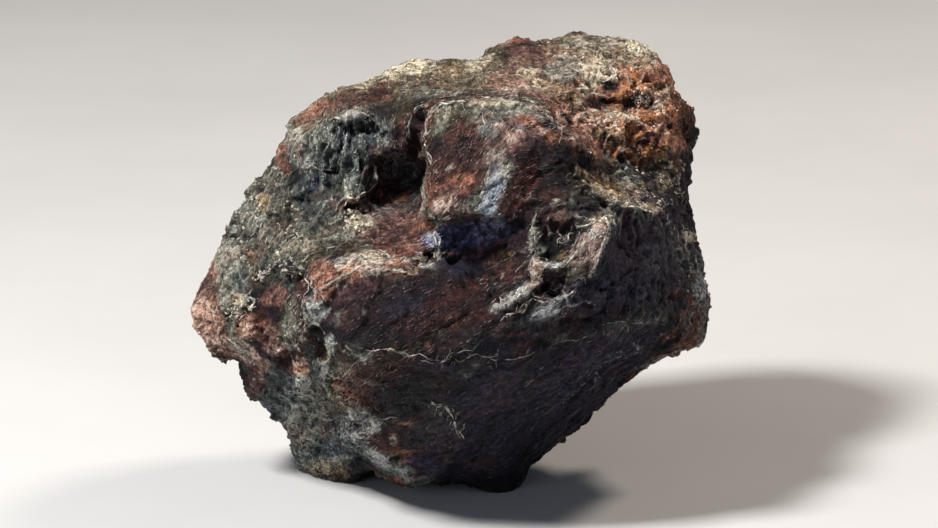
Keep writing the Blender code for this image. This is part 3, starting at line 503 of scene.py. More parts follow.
patches = [
    # (colour, middle in the frame, half width, half height, turn in degrees, strength)
    # the top and its plateau
    ("olive", (450, 78), 110, 24, 4, 0.8), ("sand", (470, 76), 96, 18, 4, 0.45),
    ("cream", (418, 65), 18, 9, 10, 0.8), ("cream", (390, 72), 12, 8, 20, 0.8),
    ("tan", (452, 70), 16, 8, 0, 0.6), ("cream", (480, 62), 14, 7, 30, 0.6),
    ("pink", (500, 80), 22, 8, 0, 0.5), ("sand", (330, 112), 50, 20, 30, 0.7),
    ("mauve", (345, 102), 40, 9, 18, 0.8), ("salmon", (336, 104), 16, 5, 18, 0.5),
    ("rust", (376, 94), 14, 7, 10, 0.7), ("brick", (352, 99), 44, 10, 20, 0.65),
    ("salmon", (322, 106), 10, 6, 35, 0.6), ("greyGreen", (420, 92), 22, 8, 0, 0.7),
    ("cream", (366, 84), 12, 6, 25, 0.5), ("salmon", (312, 112), 12, 8, 40, 0.7),
    # the left slope
    ("greyGreen", (262, 215), 44, 64, 25, 0.75), ("paleGrey", (300, 150), 12, 30, 25, 0.85),
    ("salmon", (301, 152), 7, 10, 0, 0.8), ("salmon", (283, 165), 6, 12, 30, 0.5),
    ("paleGrey", (250, 205), 14, 30, 30, 0.6), ("ochre", (262, 202), 6, 10, 10, 0.45),
    ("olive", (288, 212), 12, 22, 0, 0.5), ("paleGrey", (224, 262), 16, 34, 20, 0.7),
    ("salmon", (211, 270), 7, 12, 20, 0.7), ("greyGreen", (243, 270), 12, 22, 0, 0.7),
    ("salmon", (250, 254), 5, 5, 0, 0.7), ("pink", (275, 297), 16, 10, 10, 0.7),
    ("olive", (262, 280), 12, 12, 0, 0.5), ("cream", (238, 300), 8, 8, 0, 0.5),
    ("salmon", (207, 322), 18, 24, 0, 0.75), ("petalPink", (205, 320), 13, 30, 8, 0.55),
    ("pink", (222, 344), 14, 10, -30, 0.8), ("petalPink", (220, 342), 12, 8, -30, 0.5),
    ("salmon", (248, 326), 12, 14, 0, 0.8), ("petalPink", (246, 330), 6, 14, -12, 0.5),
    # the pale pink and pale grey under the tongue are painted light, on faces turned down into shade
    ("paintedLightPink", (248, 354), 16, 9, -32, 0.85), ("paleGrey", (266, 366), 12, 6, -32, 0.8),
    ("paintedLightPink", (276, 346), 10, 8, -30, 0.6), ("paleGrey", (226, 296), 7, 18, 12, 0.6),
    ("coolGrey", (238, 280), 5, 16, 25, 0.6), ("mauve", (205, 284), 8, 16, 20, 0.6),
    ("rust", (262, 318), 8, 12, 0, 0.7), ("pink", (270, 336), 12, 14, 0, 0.6),
    ("paleGrey", (240, 348), 12, 6, -40, 0.7), ("rust", (290, 362), 14, 12, 0, 0.85),
    ("petalPink", (300, 368), 9, 9, 0, 0.7), ("orange", (300, 370), 8, 7, 0, 0.5),
    # the black at 286, 360 is painted shade in the pit under the tongue
    ("black", (286, 360), 5, 5, 0, 0.6), ("olive", (290, 322), 11, 26, -10, 0.75),
    ("paleGrey", (291, 322), 8, 22, -10, 0.5), ("coolGrey", (318, 372), 6, 26, 24, 0.6),
    ("rust", (300, 290), 7, 14, 0, 0.7), ("salmon", (262, 366), 8, 6, -30, 0.7),
    ("greyGreen", (320, 228), 30, 20, 0, 0.7), ("cream", (300, 246), 26, 8, 20, 0.35),
    ("olive", (308, 262), 20, 10, 20, 0.7),
    # the curtain and the cave
    ("teal", (352, 152), 54, 40, 0, 0.9), ("teal", (322, 196), 24, 28, 0, 0.75),
    ("greyGreen", (318, 142), 16, 20, 0, 0.6), ("greyGreen", (348, 186), 14, 14, 0, 0.7),
    ("blueWhite", (341, 135), 3, 7, 0, 0.5), ("lavender", (315, 184), 4, 6, 0, 0.5),
    ("olive", (330, 122), 14, 6, 20, 0.7), ("pearl", (354, 114), 14, 5, 5, 0.9),
    ("olive", (378, 121), 18, 3, -28, 0.8), ("olive", (398, 112), 12, 14, 0, 0.6),
    # the plum at 404, 145 and 420, 124 is painted shade in the slot
    ("pink", (401, 128), 4, 14, 0, 0.6), ("plum", (404, 145), 6, 12, 0, 0.6),
    # the mauve and cool grey in the cave are painted light, paler than the stone to stand against the shade
    # there
    ("teal", (372, 140), 8, 14, 0, 0.7), ("mauve", (392, 168), 26, 30, 0, 0.9),
    ("wine", (400, 160), 20, 22, 0, 0.35), ("coolGrey", (394, 176), 22, 22, 0, 0.45),
    ("coolGrey", (415, 186), 6, 16, 0, 0.6), ("plum", (420, 124), 7, 22, 2, 0.8),
    # the black at 350, 208 is painted shade under the hem
    ("rust", (386, 187), 14, 7, 0, 0.7), ("black", (350, 208), 9, 4, 8, 0.9),
    ("teal", (416, 190), 6, 14, 0, 0.6),
    # the ramp, the ledge and the holes beside it
    ("rust", (385, 226), 36, 16, 0, 0.6), ("mauve", (384, 214), 34, 9, 4, 0.75),
    ("coolGrey", (372, 204), 14, 5, 0, 0.5), ("coolGrey", (396, 211), 24, 8, 4, 0.4),
    ("pink", (402, 216), 18, 8, 5, 0.6), ("salmon", (413, 230), 9, 12, -50, 0.55),
    ("greyGreen", (352, 222), 20, 16, 0, 0.6), ("cream", (360, 222), 13, 9, 0, 0.55),
    ("pink", (372, 236), 16, 8, 0, 0.6), ("mauve", (400, 232), 26, 12, 0, 0.5),
    ("wine", (398, 234), 14, 5, -20, 0.6), ("rust", (352, 246), 9, 6, 0, 0.6),
    ("pink", (405, 247), 18, 6, 15, 0.8), ("olive", (330, 250), 20, 8, 12, 0.7),
    ("salmon", (322, 276), 13, 14, 20, 0.85), ("salmon", (352, 270), 24, 8, 15, 0.85),
    ("petalPink", (356, 263), 22, 7, 8, 0.9), ("pearl", (345, 262), 12, 5, 10, 0.6),
    ("cream", (372, 257), 16, 4, 5, 0.8), ("petalPink", (398, 262), 24, 4, 0, 0.8),
    ("tan", (352, 264), 12, 5, 10, 0.7), ("orange", (402, 271), 18, 5, -3, 0.75),
    ("cream", (412, 268), 8, 3, -10, 0.7), ("paintedLightPink", (366, 266), 26, 4, 4, 0.6),
    ("salmon", (385, 266), 30, 6, 0, 0.7), ("cream", (376, 256), 16, 6, 0, 0.35),
    ("lavender", (433, 240), 10, 9, 20, 0.9), ("pearl", (432, 237), 7, 4, 40, 0.7),
    ("pearl", (430, 266), 9, 3, 10, 0.7), ("pearl", (439, 253), 3, 8, 0, 0.7),
    # the black at 429, 257 is painted shade in the peg hole
    ("black", (429, 257), 6, 4, 38, 0.95), ("mauve", (421, 250), 5, 4, 40, 0.7),
    ("lavender", (424, 238), 8, 5, 20, 0.6),
    # the slab
    # painted shade: the slab's face is laid in brick, a darker rust, and a plum line lies in the groove
    # behind its crest
    ("brick", (470, 165), 46, 52, 0, 0.9), ("plum", (490, 95), 70, 4, 3, 0.8),
    ("olive", (452, 122), 27, 20, 10, 0.85), ("rust", (466, 128), 15, 10, 20, 0.65),
    ("paleGrey", (441, 122), 7, 9, 0, 0.5), ("pink", (486, 112), 10, 7, 40, 0.6),
    ("teal", (438, 146), 6, 14, -20, 0.6), ("cream", (442, 112), 10, 6, 20, 0.35),
    ("greyGreen", (500, 108), 34, 9, 3, 0.75), ("paleGrey", (518, 112), 16, 9, -30, 0.7),
    ("cream", (490, 103), 26, 5, 3, 0.5), ("pink", (478, 100), 9, 5, 0, 0.4),
    ("olive", (492, 130), 20, 12, 20, 0.5), ("teal", (498, 131), 9, 6, 30, 0.5),
    ("rust", (460, 134), 13, 9, 30, 0.6), ("rust", (478, 140), 10, 6, 40, 0.5),
    ("rust", (452, 152), 24, 20, 40, 0.55), ("black", (436, 147), 8, 10, 0, 0.6),
    ("plum", (462, 146), 14, 7, 45, 0.7), ("rust", (462, 184), 20, 17, 35, 0.9),
    ("salmon", (460, 184), 16, 11, 35, 0.55), ("mauve", (448, 196), 13, 10, 35, 0.7),
    ("paleGrey", (450, 168), 5, 3, 40, 0.6), ("mauve", (443, 206), 12, 8, 0, 0.9),
    ("petalPink", (444, 205), 11, 7, 0, 0.45), ("mauve", (500, 142), 22, 16, 40, 0.85),
    ("coolGrey", (492, 128), 14, 7, 30, 0.6), ("paleGrey", (495, 158), 9, 11, -40, 0.45),
    ("mauve", (531, 130), 24, 11, -22, 0.8), ("petalPink", (514, 136), 20, 8, -30, 0.5),
    ("white", (520, 127), 6, 3, -60, 0.5), ("paleGrey", (536, 118), 10, 3, 30, 0.6),
    ("petalPink", (541, 130), 10, 5, -20, 0.5), ("rust", (528, 124), 14, 7, -22, 0.6),
    ("salmon", (526, 119), 12, 6, -20, 0.7), ("orange", (551, 138), 7, 7, 0, 0.8),
    ("blueWhite", (492, 192), 11, 26, -22, 0.8), ("blueWhite", (488, 206), 9, 9, 0, 0.8),
    ("greyGreen", (476, 198), 8, 15, -30, 0.75), ("paleGrey", (507, 170), 7, 13, -15, 0.7),
    ("salmon", (503, 200), 5, 12, -10, 0.5), ("plum", (456, 212), 6, 6, 0, 0.7),
    ("black", (450, 152), 22, 5, 50, 0.5), ("black", (466, 156), 4, 16, -50, 0.5),
    # the face beside it, turned from the key lamp: its plum and black are painted shade
    ("plum", (545, 172), 30, 36, 20, 0.9), ("rust", (522, 186), 12, 34, -28, 0.8),
    ("plum", (536, 150), 18, 12, 30, 0.7), ("black", (560, 168), 22, 24, 20, 0.55),
    ("black", (584, 158), 14, 16, 0, 0.9), ("rust", (556, 200), 14, 10, 0, 0.6),
    ("paleGrey", (558, 199), 6, 3, 5, 0.7), ("paleGrey", (552, 206), 6, 2, 20, 0.6),
    ("greyGreen", (546, 167), 4, 5, 0, 0.6), ("olive", (582, 177), 13, 4, -38, 0.85),
    ("black", (588, 204), 24, 10, 0, 0.9), ("plum", (562, 212), 18, 8, 0, 0.7),
    ("pink", (556, 218), 12, 8, 20, 0.4),
    # the recess under the slab: its violet, wine and plum are the stone's dark colours there and painted
    # shade both
    ("violet", (478, 236), 46, 17, 12, 0.9), ("violet", (450, 236), 13, 13, 0, 0.9),
    ("violet", (470, 262), 34, 15, 10, 0.8), ("wine", (486, 250), 26, 10, 14, 0.6),
    ("plum", (510, 252), 26, 18, 25, 0.9), ("lavender", (472, 233), 42, 13, 10, 0.55),
    ("lavender", (446, 236), 9, 9, 0, 0.4), ("greyGreen", (512, 258), 14, 3, -40, 0.4),
    ("rust", (500, 262), 16, 10, 30, 0.6), ("ochre", (510, 254), 7, 3, 20, 0.3),
    ("plum", (548, 232), 20, 12, 10, 0.85), ("rust", (556, 226), 12, 6, 20, 0.5),
    # the face under the ledge: its plum and black are painted shade under the ledge
    ("plum", (430, 312), 122, 40, 0, 0.9), ("rust", (430, 318), 100, 26, 12, 0.25),
    ("wine", (356, 290), 30, 9, 20, 0.8), ("rust", (378, 282), 24, 6, 10, 0.4),
    ("violet", (402, 304), 26, 14, 22, 0.7), ("rust", (458, 292), 34, 10, 25, 0.75),
    ("rust", (452, 322), 44, 10, 12, 0.6), ("pink", (428, 346), 12, 6, 0, 0.5),
    ("black", (330, 334), 18, 16, 0, 0.9), ("black", (372, 336), 30, 14, 10, 0.7),
    ("pearl", (317, 306), 10, 14, 15, 0.8), ("salmon", (326, 292), 14, 8, 25, 0.7),
    ("paleGrey", (365, 315), 3, 3, 0, 0.6), ("olive", (438, 332), 12, 4, 10, 0.5),
    ("violet", (488, 345), 26, 8, 15, 0.5), ("black", (440, 322), 112, 42, 0, 0.35),
    # the web of crust, its bowls and the petal
    # the black in the web's gaps, in its two bowls and under the petal is painted shade
    ("black", (548, 286), 50, 34, 0, 0.55), ("wine", (566, 292), 34, 26, 10, 0.5),
    ("pearl", (516, 296), 26, 6, 34, 0.65), ("plum", (500, 322), 24, 8, 10, 0.7),
    ("petalPink", (532, 284), 7, 6, 35, 0.7), ("pearl", (548, 307), 25, 6, 26, 0.8),
    ("white", (546, 311), 18, 6, 24, 0.6), ("paleGrey", (534, 246), 4, 28, 0, 0.7),
    ("petalPink", (537, 268), 7, 10, 0, 0.85), ("pearl", (553, 265), 14, 3, -5, 0.8),
    ("black", (556, 248), 10, 10, 0, 0.9), ("ochre", (563, 255), 7, 4, 30, 0.5),
    # the pale pink on the petal at 588, 250 is painted light, on a face turned from the key lamp
    ("black", (553, 289), 9, 5, 0, 0.85), ("paintedLightPink", (588, 250), 14, 34, -27, 1.0),
    ("violet", (609, 248), 7, 16, -8, 0.7), ("pearl", (592, 234), 9, 8, -30, 0.6),
    ("black", (586, 268), 5, 6, -40, 0.6), ("cream", (598, 221), 12, 5, 10, 0.95),
    ("cream", (574, 273), 12, 6, 40, 0.8), ("pearl", (566, 296), 10, 4, 25, 0.6),
    ("coolGrey", (590, 292), 22, 16, 10, 0.4), ("mauve", (578, 302), 22, 10, 10, 0.4),
    ("rust", (510, 272), 18, 12, 30, 0.8), ("plum", (520, 262), 8, 12, 0, 0.6),
    ("violet", (610, 256), 12, 22, -10, 0.6),
    # the crag
    ("tan", (620, 194), 44, 11, -28, 0.95), ("tan", (646, 197), 18, 12, -35, 0.85),
    ("cream", (640, 206), 20, 4, -12, 0.9), ("ochre", (606, 186), 24, 5, -28, 0.8),
    ("tan", (592, 182), 18, 7, -38, 0.7), ("sand", (632, 192), 22, 9, -20, 0.6),
    # the black at 620, 172 and 627, 164 is painted shade in and above the crag's hole
    ("black", (620, 172), 20, 6, -10, 0.7), ("ochre", (657, 210), 8, 4, -20, 0.6),
    ("rust", (604, 168), 12, 12, 0, 0.6), ("orange", (598, 152), 9, 9, 0, 0.5),
    ("black", (627, 164), 16, 11, 0, 0.8), ("tan", (659, 160), 12, 9, -20, 0.6),
    ("rust", (640, 196), 12, 5, 0, 0.6),
    # the shoulder
    ("salmon", (620, 104), 72, 54, 0, 0.9), ("orange", (648, 118), 42, 42, 0, 0.65),
    ("sand", (600, 50), 68, 18, 0, 0.85), ("paleGrey", (590, 44), 30, 8, 0, 0.5),
    ("cream", (642, 46), 18, 9, -20, 0.7), ("pink", (540, 56), 34, 12, 0, 0.5),
    ("pink", (520, 74), 24, 10, 0, 0.55), ("petalPink", (532, 86), 34, 8, 8, 0.5),
    ("cream", (539, 84), 8, 6, 0, 0.9), ("cream", (528, 72), 9, 6, 0, 0.6),
    ("paleGrey", (566, 70), 20, 14, 0, 0.7), ("cream", (598, 74), 18, 14, 0, 0.75),
    ("tan", (560, 92), 26, 10, -20, 0.7), ("orange", (632, 76), 8, 14, -20, 0.85),
    ("orange", (652, 90), 16, 9, -35, 0.9), ("orange", (668, 82), 9, 8, 0, 0.7),
    ("salmon", (658, 78), 14, 20, -10, 0.6), ("petalPink", (575, 114), 24, 11, 25, 0.6),
    ("cream", (586, 90), 7, 9, 35, 0.7), ("petalPink", (604, 134), 28, 9, -22, 0.5),
    ("tan", (574, 104), 14, 7, -30, 0.7), ("cream", (618, 128), 3, 11, 0, 0.7),
    ("cream", (664, 98), 6, 12, -20, 0.5), ("salmon", (664, 104), 12, 18, -20, 0.6),
    ("salmon", (598, 120), 26, 8, 0, 0.85), ("tan", (610, 136), 18, 10, -10, 0.8),
    # the plum, black and wine in the shoulder's cave, nook, den, eye and dark band are painted shade
    ("cream", (620, 114), 18, 5, -15, 0.6), ("plum", (597, 103), 15, 6, 5, 0.85),
    ("plum", (634, 100), 15, 7, 30, 0.85), ("cream", (600, 118), 20, 4, 0, 0.5),
    ("sand", (655, 100), 12, 14, -20, 0.5), ("sand", (640, 62), 14, 10, 0, 0.6),
    ("plum", (611, 87), 9, 5, 10, 0.9), ("black", (606, 73), 5, 3, 0, 0.9),
    ("wine", (650, 139), 18, 6, 5, 0.65), ("orange", (628, 132), 16, 9, -10, 0.5),
    ("orange", (640, 154), 10, 8, -30, 0.6), ("salmon", (678, 146), 9, 8, 0, 0.7),
    ("rust", (684, 108), 10, 20, 10, 0.7), ("plum", (688, 126), 8, 12, 0, 0.7),
    ("salmon", (660, 124), 14, 8, 0, 0.7),
    # the east side and the underside, turned from the key lamp: their black and plum are painted shade, and
    # their violet is the stone's dark colour and painted shade both
    ("black", (668, 190), 26, 26, 0, 0.75), ("black", (640, 262), 76, 46, 0, 0.7),
    ("violet", (606, 296), 50, 24, 8, 0.75), ("violet", (536, 330), 50, 10, 8, 0.7),
    ("mauve", (512, 330), 24, 9, 10, 0.6), ("coolGrey", (530, 322), 30, 5, 12, 0.35),
    ("black", (620, 330), 110, 28, 8, 0.6), ("black", (520, 410), 130, 72, 20, 0.85),
    ("violet", (600, 360), 60, 20, 30, 0.6), ("plum", (560, 330), 40, 12, 10, 0.5),
    ("violet", (650, 250), 44, 60, 10, 0.6), ("violet", (520, 412), 120, 56, 20, 0.55),
    ("teal", (640, 216), 10, 16, 0, 0.5), ("teal", (690, 250), 16, 30, 10, 0.5),
    ("rust", (676, 293), 8, 5, 0, 0.6), ("blueWhite", (702, 288), 9, 15, 0, 0.55),
    ("coolGrey", (704, 300), 9, 20, 0, 0.35), ("rust", (480, 465), 20, 8, 0, 0.3),
    ("cream", (689, 237), 8, 6, -20, 0.9), ("sand", (668, 176), 9, 15, -25, 0.55),
    ("coolGrey", (640, 322), 30, 2.5, 4, 0.5),
    # the facet, the steps and the keel
    ("greyGreen", (334, 369), 11, 9, 0, 0.9), ("sand", (336, 367), 7, 5, 0, 0.5),
    ("pearl", (325, 371), 4, 11, 0, 0.95), ("pearl", (330, 347), 5, 12, 0, 0.8),
    # the black in the chin gap, over the facet, in the crevice and in the keel's hollow is painted shade
    ("pearl", (303, 382), 10, 6, 0, 0.85), ("black", (334, 383), 9, 3, 0, 0.9),
    ("rust", (372, 376), 30, 16, 32, 0.6), ("black", (398, 398), 40, 26, 30, 0.6),
    ("rust", (358, 398), 10, 16, -35, 0.6), ("violet", (438, 366), 20, 8, 0, 0.6),
    ("black", (319, 397), 5, 24, -32, 0.95), ("sand", (330, 400), 7, 16, -32, 0.8),
    ("ochre", (340, 411), 9, 13, -35, 0.85), ("cream", (347, 419), 5, 10, -30, 0.95),
    ("white", (348, 435), 15, 7, 0, 0.9), ("white", (372, 427), 11, 8, 0, 0.8),
    ("white", (347, 419), 4, 9, -30, 0.7), ("pearl", (362, 414), 7, 6, 0, 0.8),
    ("pearl", (358, 447), 12, 5, 10, 0.8), ("mauve", (364, 436), 7, 5, 0, 0.8),
    ("pink", (368, 437), 7, 4, 0, 0.5), ("coolGrey", (380, 460), 38, 7, -32, 0.85),
    ("pearl", (376, 457), 34, 5, -32, 0.85), ("coolGrey", (400, 470), 14, 7, -10, 0.8),
    ("violet", (424, 462), 22, 16, 0, 0.7), ("cream", (394, 440), 4, 4, 0, 0.8),
    ("black", (398, 459), 9, 6, 20, 0.8), ("olive", (430, 428), 34, 24, 20, 0.25),
    ("black", (394, 392), 46, 34, 20, 0.35),
    # the foot behind
    ("teal", (304, 440), 60, 50, 0, 0.8), ("coolGrey", (304, 446), 44, 38, 0, 0.8),
    ("paleGrey", (300, 424), 22, 50, -28, 0.75), ("pearl", (292, 398), 12, 18, -35, 0.6),
    ("paleGrey", (318, 468), 30, 10, 10, 0.6), ("blueWhite", (332, 450), 8, 8, 0, 0.5),
    ("coolGrey", (276, 392), 24, 24, -40, 0.6), ("lavender", (268, 412), 6, 6, 0, 0.6),
    ("pink", (256, 384), 10, 14, -35, 0.5), ("tan", (322, 470), 28, 10, -5, 0.5),
    ("pink", (300, 434), 8, 10, 0, 0.35), ("pink", (326, 430), 6, 9, 0, 0.45),
    ("coolGrey", (296, 458), 18, 14, 0, 0.5),
]


# The stone's skin: the CAD solid with its fine relief and its colours

skin = {
    "weld": 0.000001,  # metres
    "voxel": 0.26,  # millimetres
    "facetSmoothing": 14,  # rounds
    "triangles": 192000,
    "nearSideCare": 0.000004,  # how much longer the thinning leaves the near side alone
}

relief = [
    # (kind, wavelength and height in millimetres, octaves, seed)
    (terraces, 6.0, 0.45, 3, 3),
    (facets, 3.6, 0.62, 2, 10),
    (ridges, 2.2, 0.26, 2, 20),
    (swells, 0.9, 0.14, 2, 50),
]
crumbleDepth = 0.55
evenShare = 0.62  # how much of the relief the calm areas keep
reliefStir = ((4.0, 0.8), (1.6, 0.35))  # wavelengths and amounts in millimetres
lineStir = ((2.6, 0.50), (1.1, 0.24), (0.6, 0.10))

roughAreas = [
    # (middle in the frame, half width, half height, turn, how rough)
    ((262, 210), 60, 100, 25, 0.9), ((225, 320), 50, 60, 0, 0.8), ((320, 225), 60, 34, 0, 1.0),
    ((300, 350), 34, 40, 0, 0.9), ((312, 282), 44, 26, 20, 1.0), ((350, 155), 60, 60, 0, 0.35),
    ((625, 105), 76, 62, 0, 1.0), ((630, 190), 60, 40, 0, 1.0), ((690, 250), 30, 70, 0, 1.0),
    ((540, 270), 60, 60, 20, 0.8), ((400, 262), 44, 14, 0, 0.9), ((440, 75), 130, 26, 4, 0.7),
    ((300, 430), 60, 60, 0, 0.8), ((350, 425), 40, 26, 30, 0.9), ((620, 330), 110, 60, 20, 0.6),
]

grainAlong = np.array((0.76, 0.60, 0.25))  # the rock's grain in the drawn pose: right, up and out
grainStretch = 2.6  # how much longer everything runs that way

lace = {
    "height": 0.38,  # millimetres
    "crust": 0.9,
    "meshes": ((6.5, 401), (3.8, 411)),  # wavelength in millimetres, seed
    "line": 0.085,  # half width, in the noise's own height
    "gaps": 1.3,  # how much wider the breaks lie than the meshes
}

noises = {
    # name: (wavelength in millimetres, octaves, seed, and how much of its height each octave keeps)
    "rough": (16, 2, 90),
    "crumble": (1.9, 3, 60),
    "uneven": (1.6, 2, 80),
    "driftAlong": (13, 4, 101),
    "driftBroad": (9, 4, 111),
    "driftFine": (6, 4, 121),
    "ragged": (2.8, 4, 131, 0.65),
    "brokenCrust": (1.7, 3, 141),
    "beadClumps": (3.4, 2, 151),
    "streaks": (3.0, 2, 161),
}

carving = {
    # profiles: where each begins and where it is full, in half widths from the middle
    "pitProfile": (1.2, 0.35),
    "pitDepth": 0.7,
    "pitRaggedness": 0.35,
    "grooveProfile": (1.6, 0.2),
    "grooveLevel": 0.8,
    "grooveLimits": (0, 1.4),
    "rimProfile": (1.5, 0.1),
    "rimHeight": 0.8,
    "rimLevel": 0.9,
    "rimLimits": (0.2, 1.5),
}

curtain = {
    # the hanging folds beside the cave
    "area": ((350, 155), 56, 52, 0),  # middle in the frame, half width, half height, turn
    "lengthwise": (1, 0.12, 0.6),  # the folds run up and down
    "folds": (2.1, 2, 70),  # wavelength in millimetres, octaves, seed
    # the fold tops are painted paler, in cool grey and pale grains: partly the fibres' own blue-grey, partly
    # painted highlight
    "topColour": "coolGrey",
    "topShare": 0.6,
    "topHighlightFrost": 0.4,
}

marks = {
    # name: (where the mask begins, where it is full)
    "rough": (-0.45, 0.10),  # these compare with a noise
    "crumble": (0.20, 0.55),
    "laceKept": (0.05, 0.28),
    "foldTops": (0.05, 0.45),
    "brokenCrust": (-0.30, 0.05),
    "beadClumps": (0.04, 0.20),
    "streaks": (-0.1, 0.2),
    "near": (-0.05, 0.25),  # these two with how far the surface looks to the front
    "facing": (-0.4, 0.0),
    "roughArea": (1.2, 0.75),  # these with the distance from a middle, in half widths
    "flowBed": (1.3, 0.8),
    "beadBed": (1.1, 0.8),
    "strandBed": (1.15, 0.7),
    "patch": (1.20, 0.72),
    "curtain": (1.1, 0.6),
    "fill": (1.15, 0.65),
    "rimCrust": (1.3, 0.3),
    "fineEdge": (0.01, 0.09),  # these with how far a point stands out, in millimetres
    "coarseEdge": (0.03, 0.30),
    "fineHollow": (-0.01, -0.09),
    "coarseHollow": (-0.04, -0.45),
    "edgeCrust": (0.60, 0.95),  # these two with another mask
    "frostCrust": (0.70, 0.95),
    "clearOfFloor": (0.4, 1.0),  # millimetres: nothing grown on the skin reaches the floor
}


def marked(name, values):
    return smoothStep(*marks[name], values)


def plainMesh(thing):
    graph = bpy.context.evaluated_depsgraph_get()
    mesh = bpy.data.meshes.new_from_object(thing.evaluated_get(graph))
    thing.modifiers.clear()
    thing.data = mesh


def mergedCopy(node, name):
    mesh = bmesh.new()
    mesh.from_mesh(node.data)
    bmesh.ops.remove_doubles(mesh, verts=mesh.verts, dist=skin["weld"])
    copy = bpy.data.objects.new(name, bpy.data.meshes.new(name))
    mesh.to_mesh(copy.data)
    mesh.free()
    scene.collection.objects.link(copy)
    return copy


def readOut(items, attribute, width, kind=np.float32):
    flat = np.empty(len(items) * width, kind)
    items.foreach_get(attribute, flat)
    return flat.reshape(-1, width)


def placesOf(mesh):
    return readOut(mesh.vertices, "co", 3).astype(np.float64)


def normalsOf(mesh):
    return readOut(mesh.vertex_normals, "vector", 3).astype(np.float64)


def edgesOf(mesh):
    return readOut(mesh.edges, "vertices", 2, np.int32)


def movePoints(mesh, places):
    mesh.vertices.foreach_set("co", places.astype(np.float32).ravel())
    mesh.update()


def smoothed(places, edges, rounds, amount=0.6):
    first, second = edges.T
    count = len(places)
    degree = np.bincount(first, minlength=count) + np.bincount(second, minlength=count)
    for _ in range(rounds):
        mean = np.empty_like(places)
        for axis in range(places.shape[1]):
            mean[:, axis] = np.bincount(first, places[second, axis], count)
            mean[:, axis] += np.bincount(second, places[first, axis], count)
        places = places + amount * (mean / degree[:, None] - places)
    return places


def nearness(normals):
    # 1 where the surface looks to the front of the drawn pose, 0 behind
    out = -(normals @ toDrawn.T)[:, 1]
    return marked("near", out)


def stretched(drawn):
    axis = grainAlong / np.linalg.norm(grainAlong)
    return drawn - np.outer(drawn @ axis, axis) * (1 - 1 / grainStretch)


def stirredUp(drawn, seed, amounts):
    # the same places, moved a little this way and that, so that drawn lines come out ragged
    moved = drawn.copy()
    for axis in range(3):
        for wavelength, amount in amounts:
            seed += 1
            moved[:, axis] += amount * noiseAt(drawn / wavelength, seed)
    return moved


def onSurface(points, seen, drawn, near):
    # the drawn places of frame points, on the nearest surface there
    reach = 5  # frame pixels
    found = []
    for point in points:
        apart = np.hypot(seen[:, 0] - point[0], seen[:, 1] - point[1])
        close = np.flatnonzero((apart < reach) & (near > 0.2))
        if len(close) == 0:
            close = np.argsort(apart)[:12]
        out = np.percentile(drawn[close, 2], 85)
        scale = pixelsPerMm * shot["distance"] / (shot["distance"] - out * mm)
        found.append(((point[0] - frameMiddle[0]) / scale, (frameMiddle[1] - point[1]) / scale, out))
    return np.array(found)


def distanceToLine(drawn, line):
    reach = 2.5  # millimetres
    distance = np.full(len(drawn), reach * 2.0)
    low, high = line.min(axis=0) - reach, line.max(axis=0) + reach
    close = np.flatnonzero(((drawn > low) & (drawn < high)).all(axis=1))
    spots = drawn[close]
    nearest = np.full(len(close), reach * 2.0)
    for start, end in zip(line, line[1:]):
        step = end - start
        share = np.clip((spots - start) @ step / (step @ step), 0, 1)
        nearest = np.minimum(nearest, np.linalg.norm(spots - start - np.outer(share, step), axis=1))
    distance[close] = nearest
    return distance


def frameBlob(seen, middle, halfWidth, halfHeight, turn):
    # 0 in the middle of a turned oval in the frame, 1 on its edge
    a = math.radians(turn)
    across = (seen[:, 0] - middle[0]) * math.cos(a) - (seen[:, 1] - middle[1]) * math.sin(a)
    down = (seen[:, 0] - middle[0]) * math.sin(a) + (seen[:, 1] - middle[1]) * math.cos(a)
    return np.hypot(across / halfWidth, down / halfHeight)


def overBeds(edge, start, beds, stirredSeen, near):
    # the strongest bed at each point, with that edge from marks
    amount = start
    for middle, halfWidth, halfHeight, turn, strength in beds:
        radius = frameBlob(stirredSeen, middle, halfWidth, halfHeight, turn)
        amount = np.maximum(amount, strength * near * marked(edge, radius))
    return amount


def roughnessOver(drawn, stirredSeen, near):
    behind = marked("rough", swells(drawn, *noises["rough"])) * (1 - near)
    return overBeds("roughArea", behind, roughAreas, stirredSeen, near)


def laceAt(drawn, stirred):
    # a broken net of fine lines
    net = np.zeros(len(drawn))
    for wavelength, seed in lace["meshes"]:
        line = smoothStep(lace["line"], 0.0, np.abs(noiseAt(stirred / wavelength, seed)))
        kept = marked("laceKept", noiseAt(drawn / (wavelength * lace["gaps"]), seed + 3))
        net = np.maximum(net, line * kept)
    return net


def curtainFolds(stirred, stirredSeen, near):
    # where the folds hang, and their height there
    inside = marked("curtain", frameBlob(stirredSeen, *curtain["area"])) * near
    return inside, ridges(stirred * curtain["lengthwise"], *curtain["folds"])


def makeRelief(drawn, rough):
    stirred = stirredUp(drawn, 300, reliefStir)
    along = stretched(stirred)
    lift = np.zeros(len(drawn))
    for shape, wavelength, height, octaves, seed in relief:
        lift += height * shape(along, wavelength, octaves, seed)
    lift -= crumbleDepth * rough * marked("crumble", swells(stirred, *noises["crumble"]))
    return lift * (evenShare + (1 - evenShare) * rough)


